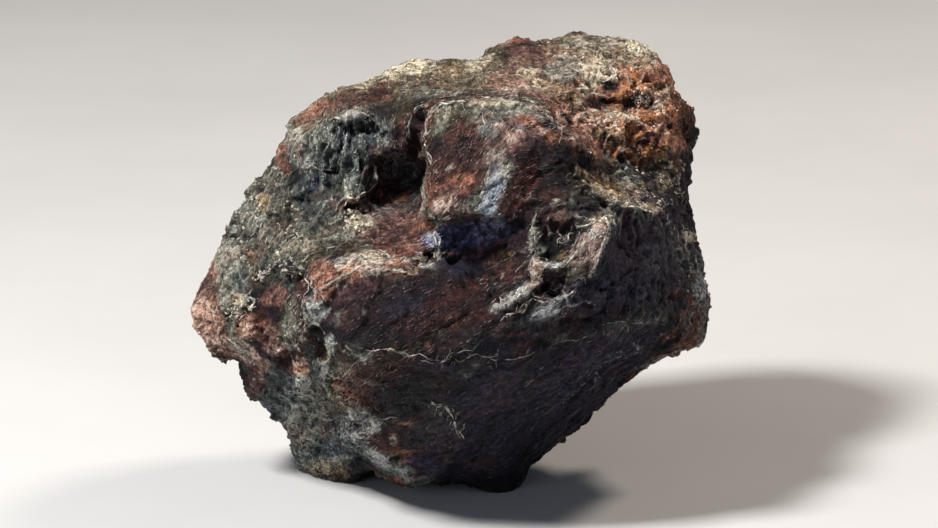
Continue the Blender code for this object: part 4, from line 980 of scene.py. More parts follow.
def filled(mesh):
    # the floors of the widest hollows, brought nearer to the camera
    furthest = 6  # millimetres
    places = placesOf(mesh)
    drawn = drawnPlaces(places)
    seen = framePlaces(drawn)
    outward = np.array((0, -1, 0)) @ toDrawn
    facing = marked("facing", normalsOf(mesh) @ outward)
    for middle, halfWidth, halfHeight, turn, level, acrossSlope, downSlope in fills.values():
        share = facing * marked("fill", frameBlob(seen, middle, halfWidth, halfHeight, turn))
        wanted = level + acrossSlope * (seen[:, 0] - middle[0]) + downSlope * (seen[:, 1] - middle[1])
        rise = share * np.clip(wanted - drawn[:, 2], 0, furthest)
        places += rise[:, None] * mm * outward
    return places


def lookOver(mesh, places):
    # what both the sculpting and the painting need to know of each point
    normals = normalsOf(mesh)
    drawn = drawnPlaces(places)
    stirred = stirredUp(drawn, 200, lineStir)
    return normals, drawn, framePlaces(drawn), stirred, framePlaces(stirred), nearness(normals)


def sculptSkin(mesh):
    places = smoothed(filled(mesh), edgesOf(mesh), skin["facetSmoothing"])
    movePoints(mesh, places)
    normals, drawn, seen, stirred, stirredSeen, near = lookOver(mesh, places)
    rough = roughnessOver(drawn, stirredSeen, near)
    lift = makeRelief(drawn, rough)
    inside, folds = curtainFolds(stirred, stirredSeen, near)
    lift += inside * folds
    lift += lace["height"] * rough * laceAt(drawn, stirred)

    uneven = swells(drawn, *noises["uneven"])
    for middle, halfWidth, halfHeight, turn, depth in pits.values():
        radius = frameBlob(stirredSeen, middle, halfWidth, halfHeight, turn)
        profile = smoothStep(*carving["pitProfile"], radius + carving["pitRaggedness"] * uneven)
        lift -= carving["pitDepth"] * depth * profile * near
    for halfWidth, depth, points in grooves.values():
        distance = distanceToLine(stirred, onSurface(points, seen, drawn, near))
        profile = smoothStep(*carving["grooveProfile"], distance / halfWidth)
        lift -= depth * np.clip(carving["grooveLevel"] + uneven, *carving["grooveLimits"]) * profile
    for halfWidth, height, _, points in rims.values():
        distance = distanceToLine(stirred, onSurface(points, seen, drawn, near))
        profile = smoothStep(*carving["rimProfile"], distance / halfWidth)
        wavy = np.clip(carving["rimLevel"] + uneven, *carving["rimLimits"])
        lift += carving["rimHeight"] * height * wavy * profile
    places = places + normals * lift[:, None] * mm
    places[:, 2] = np.maximum(places[:, 2], 0)  # nothing below the floor
    movePoints(mesh, places)


def keepNearSide(stone):
    levels = 4  # of weight, the lowest one in front
    near = nearness(normalsOf(stone.data))
    group = stone.vertex_groups.new(name="thinning")
    for weight in range(1, levels + 1):
        chosen = np.flatnonzero(np.round(levels - (levels - 1) * near).astype(int) == weight)
        group.add(chosen.tolist(), weight / levels, "REPLACE")
    return group.name


beadBeds = [
    # (middle in the frame, half width, half height, turn, how thickly they sit)
    ((272, 262), 26, 20, 20, 0.8), ((245, 308), 16, 14, 20, 1.0), ((236, 232), 14, 34, 25, 0.4),
    ((288, 222), 14, 26, 10, 0.5), ((358, 220), 18, 16, 0, 0.9), ((292, 250), 20, 10, 20, 0.8),
    ((670, 184), 16, 26, -20, 1.0), ((688, 238), 9, 12, 0, 1.0), ((700, 284), 14, 24, 0, 0.8),
    ((648, 162), 14, 14, 0, 0.6), ((300, 382), 12, 8, 0, 1.0), ((258, 372), 12, 10, 30, 0.5),
    ((620, 60), 40, 20, 0, 0.35), ((560, 54), 40, 16, 0, 0.3), ((420, 68), 60, 14, 0, 0.25),
    ((352, 432), 20, 9, 0, 0.8), ((655, 108), 26, 30, 0, 0.7), ((600, 120), 30, 12, 0, 0.6),
    ((655, 78), 16, 20, 0, 0.6), ((262, 200), 18, 30, 20, 0.3),
]

flows = [
    # (middle in the frame, half width, half height, turn, the way the fibres run: right and up)
    ((262, 215), 60, 90, 25, (0.35, 1.0)), ((215, 320), 40, 50, 0, (0.3, 1.0)),
    ((350, 155), 64, 62, 0, (0.05, 1.0)), ((390, 228), 44, 22, 0, (1.0, 0.2)),
    ((360, 264), 60, 16, 0, (1.0, -0.05)), ((322, 276), 18, 18, 0, (0.6, 0.8)),
    ((475, 155), 56, 64, 0, (0.55, 0.83)), ((545, 165), 34, 44, 0, (0.9, 0.25)),
    ((400, 310), 100, 46, 0, (0.8, 0.6)), ((370, 390), 44, 36, 0, (0.6, 0.8)),
    ((588, 250), 30, 36, 0, (0.6, 0.8)), ((530, 295), 46, 22, 0, (0.75, 0.65)),
    ((620, 188), 50, 26, 25, (0.85, -0.5)), ((640, 270), 60, 70, 0, (0.3, 1.0)),
    ((480, 420), 90, 60, 0, (0.5, 0.85)), ((290, 370), 30, 40, 0, (-0.4, 0.9)),
]

strandBeds = [
    # (middle in the frame, half width, half height, turn, how thickly they lie)
    ((350, 155), 60, 56, 0, 0.35), ((262, 215), 46, 70, 25, 0.22), ((322, 276), 20, 18, 0, 0.9),
    ((366, 262), 60, 12, 0, 1.0), ((405, 245), 30, 10, 0, 0.25), ((470, 160), 50, 62, 0, 0.8),
    ((490, 190), 14, 26, 20, 1.0), ((545, 115), 26, 20, 40, 0.9), ((588, 250), 26, 34, 20, 1.0),
    ((530, 295), 46, 18, -25, 1.0), ((535, 262), 14, 36, 0, 0.8), ((620, 190), 50, 20, 25, 1.0),
    ((372, 385), 44, 34, 0, 0.8), ((420, 320), 90, 44, 0, 0.4), ((433, 241), 12, 12, 0, 1.0),
    ((300, 330), 16, 40, 0, 0.8), ((355, 432), 32, 16, 0, 0.8), ((640, 270), 60, 60, 0, 0.2),
    ((480, 420), 90, 60, 0, 0.2), ((545, 180), 36, 40, 0, 0.6),
]

baseColour = "plum"
drifts = [
    # (colour, how much, its mix of the three drift noises, where it begins and where it is full)
    ("brick", 1, (1, 0, 0), -0.08, 0.06),
    ("rust", 1, (1, 0, 0), 0.08, 0.22),
    ("olive", 1, (0, 1, 0), 0.10, 0.24),
    ("black", 1, (0, -1, 0), 0.14, 0.30),
    ("greyGreen", 0.8, (0, 1, 0.5), 0.32, 0.46),
    ("salmon", 0.6, (1, 0, 0.4), 0.38, 0.55),
    ("teal", 0.7, (-0.4, 0, 1), 0.30, 0.44),
    ("paleGrey", 0.7, (0, 0.3, 1), 0.42, 0.54),
]

def flowOf(normals, stirredSeen, near):
    # which way the fibres run at each point, along the surface, in the world
    way = np.tile(grainAlong / np.linalg.norm(grainAlong), (len(normals), 1))
    for middle, halfWidth, halfHeight, turn, (right, up) in flows:
        radius = frameBlob(stirredSeen, middle, halfWidth, halfHeight, turn)
        share = (near * marked("flowBed", radius))[:, None]
        way = way * (1 - share) + share * np.array((right, up, 0.0)) / math.hypot(right, up)
    way = np.stack([way[:, 0], -way[:, 2], way[:, 1]], axis=1) @ toDrawn
    way -= np.einsum("ij,ij->i", way, normals)[:, None] * normals
    return way / np.maximum(np.linalg.norm(way, axis=1), 0.05)[:, None]


def laidOver(tint, colour, share):
    return tint + share[:, None] * (np.array(palette[colour]) - tint)


def tintOf(stirred, stirredSeen, near, ragged):
    # the colours of the whole stone in drifts, then the patches of the near side
    levels = (
        swells(stretched(stirred), *noises["driftAlong"]) + 0.6 * ragged,
        swells(stirred, *noises["driftBroad"]) - 0.6 * ragged,
        swells(stirred, *noises["driftFine"]) + 0.4 * ragged,
    )
    tint = np.tile(np.array(palette[baseColour]), (len(stirred), 1))
    for colour, amount, mix, low, high in drifts:
        level = mix[0] * levels[0] + mix[1] * levels[1] + mix[2] * levels[2]
        tint = laidOver(tint, colour, amount * smoothStep(low, high, level))
    for colour, middle, halfWidth, halfHeight, turn, strength in patches:
        radius = frameBlob(stirredSeen, middle, halfWidth, halfHeight, turn) + ragged
        tint = laidOver(tint, colour, strength * near * marked("patch", radius))
    return tint


def store(attributes, name, kind, field, values):
    attribute = attributes.new(name, kind, "POINT")
    attribute.data.foreach_set(field, values.astype(np.float32).ravel())


def paintSkin(mesh):
    places = placesOf(mesh)
    edges = edgesOf(mesh)
    normals, drawn, seen, stirred, stirredSeen, near = lookOver(mesh, places)

    # convex and concave places, at two sizes
    fine = np.einsum("ij,ij->i", places - smoothed(places, edges, 3), normals) / mm
    coarse = np.einsum("ij,ij->i", places - smoothed(places, edges, 24), normals) / mm
    edge = 0.5 * marked("fineEdge", fine) + 0.5 * marked("coarseEdge", coarse)
    # the concave places: a mask for painted shade, which darkens them in the shader and thins their pale
    # grains
    hollow = 0.60 * marked("fineHollow", fine) + 0.22 * marked("coarseHollow", coarse)

    ragged = 0.34 * swells(stretched(stirred), *noises["ragged"])
    tint = tintOf(stirred, stirredSeen, near, ragged)
    frosty = tint[:, 3]

    rough = roughnessOver(drawn, stirredSeen, near)
    crust = lace["crust"] * rough * laceAt(drawn, stirred)
    broken = 0.55 + 0.45 * marked("brokenCrust", swells(drawn, *noises["brokenCrust"]))
    for halfWidth, _, amount, points in rims.values():
        distance = distanceToLine(stirred, onSurface(points, seen, drawn, near))
        crust = np.maximum(crust, amount * broken * marked("rimCrust", distance / halfWidth))
    crust = np.maximum(crust, (0.1 + 0.75 * frosty) * marked("edgeCrust", edge))
    crust = np.maximum(crust, 0.62 * marked("frostCrust", frosty + 0.25 * ragged))

    inside, folds = curtainFolds(stirred, stirredSeen, near)
    # the fold tops painted paler: partly fibre colour, partly painted highlight
    foldTops = inside * marked("foldTops", folds)
    # fewer pale grains in the hollows: painted shade
    frost = frosty * (0.6 + 0.8 * edge) * (1 - 0.7 * hollow) + curtain["topHighlightFrost"] * foldTops
    tint = laidOver(tint, curtain["topColour"], curtain["topShare"] * foldTops)

    grains = np.clip(0.35 * frost ** 2 + 0.5 * crust ** 2 - 0.04, 0, 1)
    beads = overBeds("beadBed", np.zeros(len(places)), beadBeds, stirredSeen, near)
    clumps = marked("beadClumps", swells(drawn, *noises["beadClumps"]))
    beads = clumps * np.maximum(beads, 0.05 * (1 - near) * rough)
    strands = overBeds("strandBed", 0.12 * (1 - near), strandBeds, stirredSeen, near)
    streaks = marked("streaks", swells(stretched(drawn), *noises["streaks"]))
    strands = strands * (0.35 + 0.65 * streaks) * (1 - 0.8 * hollow)
    clear = marked("clearOfFloor", places[:, 2] / mm)

    store(mesh.attributes, "flow", "FLOAT_VECTOR", "vector", flowOf(normals, stirredSeen, near))
    for name, values in (("crust", crust), ("hollow", hollow), ("frost", frost), ("grains", grains * clear),
                         ("beads", beads * clear), ("strands", strands * clear)):
        store(mesh.attributes, name, "FLOAT", "value", values)
    tint[:, 3] = 1
    store(mesh.color_attributes, "tint", "FLOAT_COLOR", "color", tint)


def makeSkin():
    stone = mergedCopy(bpy.data.objects["meteorite"], "stoneSkin")
    remesh = stone.modifiers.new("remesh", "REMESH")
    remesh.mode = "VOXEL"
    remesh.voxel_size = skin["voxel"] * mm
    plainMesh(stone)
    print("skin remeshed,", len(stone.data.vertices), "points")
    sculptSkin(stone.data)
    print("skin sculpted")
    thin = stone.modifiers.new("thin", "DECIMATE")
    thin.ratio = skin["triangles"] / (2 * len(stone.data.polygons))  # the remeshed skin is all quads
    thin.use_collapse_triangulate = True
    thin.vertex_group = keepNearSide(stone)
    thin.vertex_group_factor = skin["nearSideCare"]
    plainMesh(stone)
    stone.vertex_groups.clear()
    stone.data.shade_smooth()
    print("skin thinned,", len(stone.data.polygons), "triangles")
    paintSkin(stone.data)
    print("skin painted")
    return stone


# Node helpers, and the shader groups that the materials share

def addNode(tree, kind, inputs=None, **settings):
    node = tree.nodes.new(kind)
    for name, value in settings.items():
        setattr(node, name, value)
    for name, value in (inputs or {}).items():
        feed(tree, node.inputs[name], value)
    return node


def feed(tree, socket, value):
    if isinstance(value, bpy.types.NodeSocket):
        tree.links.new(value, socket)
    elif value is not None:
        socket.default_value = value


def newGroup(name, inputs, output, outputKind="NodeSocketFloat"):
    tree = bpy.data.node_groups.new(name, "ShaderNodeTree")
    for label, (kind, value) in inputs.items():
        socket = tree.interface.new_socket(label, in_out="INPUT", socket_type="NodeSocket" + kind)
        if value is not None:
            socket.default_value = value
    tree.interface.new_socket(output, in_out="OUTPUT", socket_type=outputKind)
    return tree, tree.nodes.new("NodeGroupInput").outputs, tree.nodes.new("NodeGroupOutput").inputs[output]


def useGroup(tree, group, **inputs):
    node = tree.nodes.new("ShaderNodeGroup")
    node.node_tree = group
    for name, value in inputs.items():
        feed(tree, node.inputs[name.capitalize()], value)
    return node.outputs[0]


def maths(tree, operation, first, second, clamp=False):
    node = addNode(tree, "ShaderNodeMath", operation=operation, use_clamp=clamp)
    feed(tree, node.inputs[0], first)
    feed(tree, node.inputs[1], second)
    return node.outputs[0]


def times(tree, first, second, clamp=False):
    return maths(tree, "MULTIPLY", first, second, clamp)


def plus(tree, first, second, clamp=False):
    return maths(tree, "ADD", first, second, clamp)


def minus(tree, first, second, clamp=False):
    return maths(tree, "SUBTRACT", first, second, clamp)


def ranged(tree, value, low, high, newLow, newHigh):
    node = addNode(tree, "ShaderNodeMapRange", {
        "Value": value, "From Min": low, "From Max": high, "To Min": newLow, "To Max": newHigh,
    })
    return node.outputs["Result"]


def mixed(tree, share, first, second, blend="MIX"):
    node = addNode(tree, "ShaderNodeMix", data_type="RGBA", blend_type=blend)
    for index, value in ((0, share), (6, first), (7, second)):
        feed(tree, node.inputs[index], value)
    return node.outputs[2]


def filtered(tree, colour, factor):
    return mixed(tree, 1.0, colour, factor, "MULTIPLY")


def noiseNode(tree, given, detail, roughness):
    return addNode(tree, "ShaderNodeTexNoise", {
        "Vector": given["Vector"], "Scale": given["Scale"], "Detail": detail, "Roughness": roughness,
    }).outputs["Fac"]


def makeSpeckle():
    # a ragged mask, covering more of the surface as Amount grows
    tree, given, out = newGroup("speckle", {
        "Vector": ("Vector", None), "Scale": ("Float", 1000.0),
        "Amount": ("Float", 0.5), "Softness": ("Float", 0.1),
    }, "Mask")
    level = minus(tree, 0.86, times(tree, given["Amount"], 0.72))
    mask = addNode(tree, "ShaderNodeMapRange", {
        "Value": noiseNode(tree, given, 7.0, 0.68), "From Min": level,
        "From Max": plus(tree, level, given["Softness"]),
    }, interpolation_type="SMOOTHSTEP")
    tree.links.new(mask.outputs["Result"], out)
    return tree


def makeGrainTone():
    # a colour made lighter and darker grain by grain
    tree, given, out = newGroup("grainTone", {
        "Vector": ("Vector", None), "Scale": ("Float", 1000.0), "Color": ("Color", None),
        "Dark": ("Float", 0.5), "Light": ("Float", 1.5),
    }, "Color", "NodeSocketColor")
    level = ranged(tree, noiseNode(tree, given, 5.0, 0.6), 0.36, 0.64, given["Dark"], given["Light"])
    tree.links.new(filtered(tree, given["Color"], level), out)
    return tree


def makeCrumb():
    # the height of a crumbly surface, with fine cracks
    tree, given, out = newGroup("crumb", {
        "Vector": ("Vector", None), "Scale": ("Float", 1000.0), "Cracks": ("Float", 0.4),
    }, "Height")
    crack = addNode(tree, "ShaderNodeTexVoronoi", {
        "Vector": given["Vector"], "Scale": times(tree, given["Scale"], 0.8),
    }, feature="DISTANCE_TO_EDGE")
    gap = times(tree, minus(tree, 0.12, crack.outputs["Distance"], True), 6.0)
    tree.links.new(minus(tree, noiseNode(tree, given, 9.0, 0.72), times(tree, gap, given["Cracks"])), out)
    return tree


speckle = makeSpeckle()
grainTone = makeGrainTone()
crumb = makeCrumb()


def attributeOf(tree, name, output="Fac"):
    return addNode(tree, "ShaderNodeAttribute", attribute_name=name).outputs[output]


def newMaterial(name):
    material = bpy.data.materials.new(name)
    material.use_nodes = True
    tree = material.node_tree
    place = addNode(tree, "ShaderNodeTexCoord").outputs["Object"]
    return material, tree, tree.nodes["Principled BSDF"].inputs, place


def addBump(tree, shader, height, strength, distance):
    # the distance is in metres
    bump = addNode(tree, "ShaderNodeBump", {"Strength": strength, "Distance": distance, "Height": height})
    tree.links.new(bump.outputs["Normal"], shader["Normal"])


stoneFinish = {
    "fibreStretch": (4.0, 1.0, 1.0),
    "fibreShare": 1.6,
    "redden": (1.30, 0.70, 0.64, 1),  # a factor
    "dark": (0.006, 0.004, 0.005, 1),
    "darkShare": 0.8,
    # painted shade: the near-black laid into the hollows, and how much of it
    "hollow": (0.004, 0.003, 0.004, 1),
    "hollowShare": 0.85,
    "frostBrighten": (2.6, 2.6, 2.6, 1),  # a factor
    "frost": (0.48, 0.43, 0.35, 1),
    "frostMix": 0.5,
    "frostEverywhere": 0.17,
    "frostOfMask": 0.42,
    "frostShare": 0.8,
    "crustLighten": (1.7, 1.7, 1.7, 1),  # a factor
    "crust": (0.66, 0.62, 0.52, 1),
    "crustMix": 0.45,
    "crustOfMask": 1.35,
    "crustRoughness": 0.2,
    "specular": 0.18,
    "coarseBumps": 0.7,
    "fineBumps": 0.8,
}


def stoneMaterial():
    material, tree, shader, place = newMaterial("weatheredStone")
    right, up, out = grainAlong
    lengthwise = Vector(toDrawn.T @ np.array((right, -out, up))).to_track_quat("X", "Z").to_euler()
    along = addNode(tree, "ShaderNodeMapping", {
        "Vector": place, "Rotation": lengthwise, "Scale": stoneFinish["fibreStretch"],
    }, vector_type="TEXTURE").outputs["Vector"]
    tint = attributeOf(tree, "tint", "Color")
    masks = ("crust", "hollow", "frost", "strands")
    crust, hollow, frost, strands = (attributeOf(tree, name) for name in masks)

    # the rock: grains, then the fibres' streaks, then red and dark ones, then painted shade in the hollows
    colour = useGroup(tree, grainTone, vector=place, scale=900.0, color=tint, dark=0.35, light=1.65)
    colour = mixed(tree, times(tree, strands, stoneFinish["fibreShare"], True),
                   useGroup(tree, grainTone, vector=place, scale=2300.0, color=colour, dark=0.3, light=1.8),
                   useGroup(tree, grainTone, vector=along, scale=2300.0, color=colour, dark=0.25, light=1.9))
    red = useGroup(tree, speckle, vector=place, scale=1500.0, amount=0.42, softness=0.16)
    colour = mixed(tree, red, colour, filtered(tree, colour, stoneFinish["redden"]))
    dark = useGroup(tree, speckle, vector=place, scale=1900.0, amount=0.42, softness=0.08)
    colour = mixed(tree, times(tree, dark, stoneFinish["darkShare"]), colour, stoneFinish["dark"])
    colour = mixed(tree, times(tree, hollow, stoneFinish["hollowShare"]), colour, stoneFinish["hollow"])

    # the pale grains and the crust over it
    frostCover = plus(tree, times(tree, frost, stoneFinish["frostOfMask"]), stoneFinish["frostEverywhere"])
    frosted = useGroup(tree, speckle, vector=place, scale=2100.0, amount=frostCover, softness=0.07)
    brighter = filtered(tree, tint, stoneFinish["frostBrighten"])
    frostTint = mixed(tree, stoneFinish["frostMix"], brighter, stoneFinish["frost"])
    colour = mixed(tree, times(tree, frosted, stoneFinish["frostShare"]), colour, frostTint)
    crustCover = times(tree, crust, stoneFinish["crustOfMask"])
    crustMask = useGroup(tree, speckle, vector=place, scale=1700.0, amount=crustCover, softness=0.30)
    lighter = filtered(tree, tint, stoneFinish["crustLighten"])
    sheet = mixed(tree, stoneFinish["crustMix"], lighter, stoneFinish["crust"])
    crustTint = useGroup(tree, grainTone, vector=along, scale=2600.0, color=sheet, dark=0.35, light=1.45)
    tree.links.new(mixed(tree, crustMask, colour, crustTint), shader["Base Color"])

    gloss = useGroup(tree, speckle, vector=place, scale=1900.0, amount=0.5, softness=0.3)
    rockRoughness = ranged(tree, gloss, 0, 1, newLow=0.66, newHigh=0.34)
    roughness = plus(tree, rockRoughness, times(tree, crustMask, stoneFinish["crustRoughness"]), True)
    tree.links.new(roughness, shader["Roughness"])
    shader["Specular IOR Level"].default_value = stoneFinish["specular"]

    coarse = useGroup(tree, crumb, vector=along, scale=1900.0, cracks=0.2)
    fine = useGroup(tree, crumb, vector=place, scale=2600.0, cracks=0.25)
    coarse = times(tree, coarse, stoneFinish["coarseBumps"])
    fine = times(tree, fine, stoneFinish["fineBumps"])
    addBump(tree, shader, plus(tree, coarse, fine), strength=1.0, distance=0.0007)
    return material


stone = makeSkin()
weathered = stoneMaterial()


# Loose grains, grown on the skin by Geometry Nodes

sharpGrains = {
    "where": "grains",  # the skin's attribute that asks for them
    "density": 8.0e6,  # for each square metre, where the skin asks for all of it
    "smallest": (0.05, 0.05, 0.06),  # half sizes in millimetres, the last one lengthwise
    "largest": (0.15, 0.15, 0.17),
    "stray": 3.0,  # how far they turn from the way the fibres run
    "form": "IcoSphere",
    "formSizes": {"Radius": 1.0, "Subdivisions": 1},
    "seed": 7,
}
fineStrands = {
    "where": "strands",
    "density": 9.0e6,
    "smallest": (0.035, 0.035, 0.14),
    "largest": (0.11, 0.11, 0.52),
    "stray": 0.20,
    "form": "Cone",
    "formSizes": {"Vertices": 4, "Side Segments": 1, "Radius Top": 0.0, "Radius Bottom": 1.0, "Depth": 2.0},
    "seed": 23,
}
roundBeads = {
    "where": "beads",
    "density": 1.5e6,
    "smallest": (0.12, 0.12, 0.10),
    "largest": (0.38, 0.38, 0.26),
    "stray": 2.0,
    "form": "UVSphere",
    "formSizes": {"Radius": 1.0, "Segments": 7, "Rings": 5},
    "seed": 11,
}
grainInputs = (("Density", "Float"), ("Smallest", "Vector"), ("Largest", "Vector"), ("Stray", "Float"),
               ("Seed", "Int"), ("Material", "Material"))
seedSteps = {"shade": 9.0, "size": 5.0}  # each random draw has its own seed, this far from the piece's


def randomVector(tree, low, high, seed):
    node = addNode(tree, "FunctionNodeRandomValue", data_type="FLOAT_VECTOR")
    for name, value in (("Min", low), ("Max", high), ("Seed", seed)):
        feed(tree, node.inputs[name], value)
    return node.outputs["Value"]


def namedAttribute(tree, name, kind):
    node = addNode(tree, "GeometryNodeInputNamedAttribute", {"Name": name}, data_type=kind)
    return node.outputs["Attribute"]


def vectorMaths(tree, operation, first, second, socket=1):
    node = addNode(tree, "ShaderNodeVectorMath", operation=operation)
    tree.links.new(first, node.inputs[0])
    tree.links.new(second, node.inputs[socket])
    return node.outputs["Vector"]


def grainTree(settings):
    tree = bpy.data.node_groups.new(settings["where"] + "OnSkin", "GeometryNodeTree")
    tree.interface.new_socket("Geometry", in_out="INPUT", socket_type="NodeSocketGeometry")
    for label, kind in grainInputs:
        tree.interface.new_socket(label, in_out="INPUT", socket_type="NodeSocket" + kind)
    tree.interface.new_socket("Geometry", in_out="OUTPUT", socket_type="NodeSocketGeometry")
    given = tree.nodes.new("NodeGroupInput").outputs
    out = tree.nodes.new("NodeGroupOutput").inputs["Geometry"]
    seed = given["Seed"]

    spread = addNode(tree, "GeometryNodeDistributePointsOnFaces", {
        "Mesh": given["Geometry"], "Seed": seed,
        "Density": times(tree, namedAttribute(tree, settings["where"], "FLOAT"), given["Density"]),
    }, distribute_method="RANDOM")
    shade = addNode(tree, "FunctionNodeRandomValue", data_type="FLOAT")
    feed(tree, shade.inputs["Seed"], plus(tree, seed, seedSteps["shade"]))
    shaded = addNode(tree, "GeometryNodeStoreNamedAttribute", {
        "Geometry": spread.outputs["Points"], "Name": "shade",
    }, data_type="FLOAT", domain="POINT")
    tree.links.new(shade.outputs[1], shaded.inputs["Value"])

    anyWay = randomVector(tree, (-1, -1, -1), (1, 1, 1), seed)
    stray = vectorMaths(tree, "SCALE", anyWay, given["Stray"], "Scale")
    aim = vectorMaths(tree, "ADD", namedAttribute(tree, "flow", "FLOAT_VECTOR"), stray)
    turn = addNode(tree, "FunctionNodeAlignRotationToVector", {"Vector": aim}, axis="Z")
    size = randomVector(tree, given["Smallest"], given["Largest"], plus(tree, seed, seedSteps["size"]))
    grain = addNode(tree, "GeometryNodeMesh" + settings["form"], settings["formSizes"])
    placed = addNode(tree, "GeometryNodeInstanceOnPoints", {
        "Points": shaded.outputs["Geometry"], "Instance": grain.outputs["Mesh"],
        "Rotation": turn.outputs["Rotation"], "Scale": size,
    })
    real = addNode(tree, "GeometryNodeRealizeInstances", {"Geometry": placed.outputs["Instances"]})
    painted = addNode(tree, "GeometryNodeSetMaterial", {
        "Geometry": real.outputs["Geometry"], "Material": given["Material"],
    })
    tree.links.new(painted.outputs["Geometry"], out)
    return tree


def setInputs(modifier, values):
    for item in modifier.node_group.interface.items_tree:
        if item.item_type == "SOCKET" and item.in_out == "INPUT" and item.name in values:
            modifier[item.identifier] = values[item.name]


def makeGrains(skinPiece, name, settings, material):
    piece = bpy.data.objects.new(name, skinPiece.data.copy())
    scene.collection.objects.link(piece)
    grow = piece.modifiers.new("grow", "NODES")
    grow.node_group = grainTree(settings)
    setInputs(grow, {
        "Density": settings["density"], "Smallest": [size * mm for size in settings["smallest"]],
        "Largest": [size * mm for size in settings["largest"]], "Stray": settings["stray"],
        "Seed": settings["seed"], "Material": material,
    })
    plainMesh(piece)
    print(name, "grown,", len(piece.data.polygons), "faces")
    return piece


grainFinish = {
    "darkest": 0.25,  # factors on the skin's own colour
    "brightest": 2.3,
    "creamFrom": 0.55,  # the paler grains, which lie where the skin has frost
    "creamShare": 1.1,
    "cream": (0.58, 0.53, 0.43, 1),
}


def grainMaterial():
    material, tree, shader, place = newMaterial("mineralGrain")
    shade = attributeOf(tree, "shade")
    level = ranged(tree, shade, 0.0, 1.0, grainFinish["darkest"], grainFinish["brightest"])
    varied = filtered(tree, attributeOf(tree, "tint", "Color"), level)
    creamy = ranged(tree, shade, grainFinish["creamFrom"], 1.0, 0.0, grainFinish["creamShare"])
    paler = mixed(tree, times(tree, creamy, attributeOf(tree, "frost"), True), varied, grainFinish["cream"])
    colour = useGroup(tree, grainTone, vector=place, scale=1400.0, color=paler, dark=0.5, light=1.5)
    tree.links.new(colour, shader["Base Color"])
    gloss = useGroup(tree, speckle, vector=place, scale=2500.0, amount=0.5, softness=0.3)
    tree.links.new(ranged(tree, gloss, 0, 1, newLow=0.6, newHigh=0.3), shader["Roughness"])
    height = useGroup(tree, crumb, vector=place, scale=6000.0, cracks=0.2)
    addBump(tree, shader, height, strength=0.6, distance=0.0001)
    return material


def dirtyCrust(tree, shader, place, colour, finish):
    # shared by the beads and the cords
    for scale, dark, light in finish["tones"]:
        colour = useGroup(tree, grainTone, vector=place, scale=scale, color=colour, dark=dark, light=light)
    dirt = useGroup(tree, speckle, vector=place, scale=finish["dirtScale"], amount=finish["dirtAmount"],
                    softness=finish["dirtSoftness"])
    colour = mixed(tree, times(tree, dirt, finish["dirtShare"]), colour, finish["dirt"])
    tree.links.new(colour, shader["Base Color"])
    tree.links.new(ranged(tree, dirt, 0, 1, newLow=0.45, newHigh=0.75), shader["Roughness"])
    height = useGroup(tree, crumb, vector=place, scale=finish["crumbScale"], cracks=0.2)
    addBump(tree, shader, height, strength=0.8, distance=finish["crumbHeight"])


beadFinish = {
    "lighten": (1.6, 1.6, 1.6, 1),  # a factor
    "pale": (0.60, 0.55, 0.45, 1),
    "paleMix": 0.55,
    "tones": ((1300.0, 0.4, 1.3),),  # scale, dark, light
    "dirtScale": 1500.0,
    "dirtAmount": 0.4,
    "dirtSoftness": 0.2,
    "dirtShare": 0.7,
    "dirt": (0.03, 0.024, 0.022, 1),
    "crumbScale": 3500.0,
    "crumbHeight": 0.0002,
}


def beadMaterial():
    material, tree, shader, place = newMaterial("paleBead")
    tint = filtered(tree, attributeOf(tree, "tint", "Color"), beadFinish["lighten"])
    colour = mixed(tree, beadFinish["paleMix"], tint, beadFinish["pale"])
    dirtyCrust(tree, shader, place, colour, beadFinish)
    return material


# Thin pale lines of crust, laid on the skin as ragged cords

cordSettings = {
    "step": 0.8,  # frame pixels from ring to ring
    "sides": 5,
    "share": 0.28,  # of a rim's half width
    "thickness": 0.9,  # of the line's half width
    "lift": 0.3,  # how far out the middle lies, in half widths
    "taper": 4,  # steps from each end
    "waver": ((9.0, 1.3), (3.6, 0.6)),  # wavelength and amount in frame pixels
    "jump": 0.9,  # millimetres: a longer step ends the cord
    "fringeEvery": 4.5,  # frame pixels
    "fringeStray": 0.35,
    "fringeLength": (2.5, 9),
    "fringeScatter": 1.0,  # frame pixels off the line, where it starts
    "fringeBend": 0.07,  # radians at each step
    "fringeThickness": 0.55,
    "fringePale": 0.8,
    "fewest": 4,  # rings in a cord
    "unevenEvery": 5.0,  # frame pixels from a thick place to a thin one
    "thickVaries": (0.80, 1.5, 0, 1.5, 171),  # level, swing, least, most, seed
    "paleVaries": (0.85, 1.2, 0.2, 1, 181),
    "thinnest": 0.25,  # of the line's own half width: a thinner place ends the cord
    "seed": 31,
}
nowhere = Vector((9, 9, 9))  # where a cast ends that misses the stone


def evenSteps(points):
    points = np.array(points, float)
    along = np.concatenate([[0], np.cumsum(np.linalg.norm(np.diff(points, axis=0), axis=1))])
    at = np.arange(0, along[-1], cordSettings["step"])
    return np.stack([np.interp(at, along, points[:, axis]) for axis in (0, 1)], axis=1)


def averaged(points, reach=2):
    padded = np.pad(points, ((reach, reach), (0, 0)), mode="edge")
    return sum(padded[start:start + len(points)] for start in range(2 * reach + 1)) / (2 * reach + 1)


def wavered(line, seed):
    moved = line.copy()
    flat = np.column_stack([line, np.full(len(line), seed * 3.1)])
    for wavelength, amount in cordSettings["waver"]:
        for axis in (0, 1):
            seed += 1
            moved[:, axis] += amount * 2 * noiseAt(flat / (wavelength, wavelength, 1), seed)
    return averaged(moved, 1)


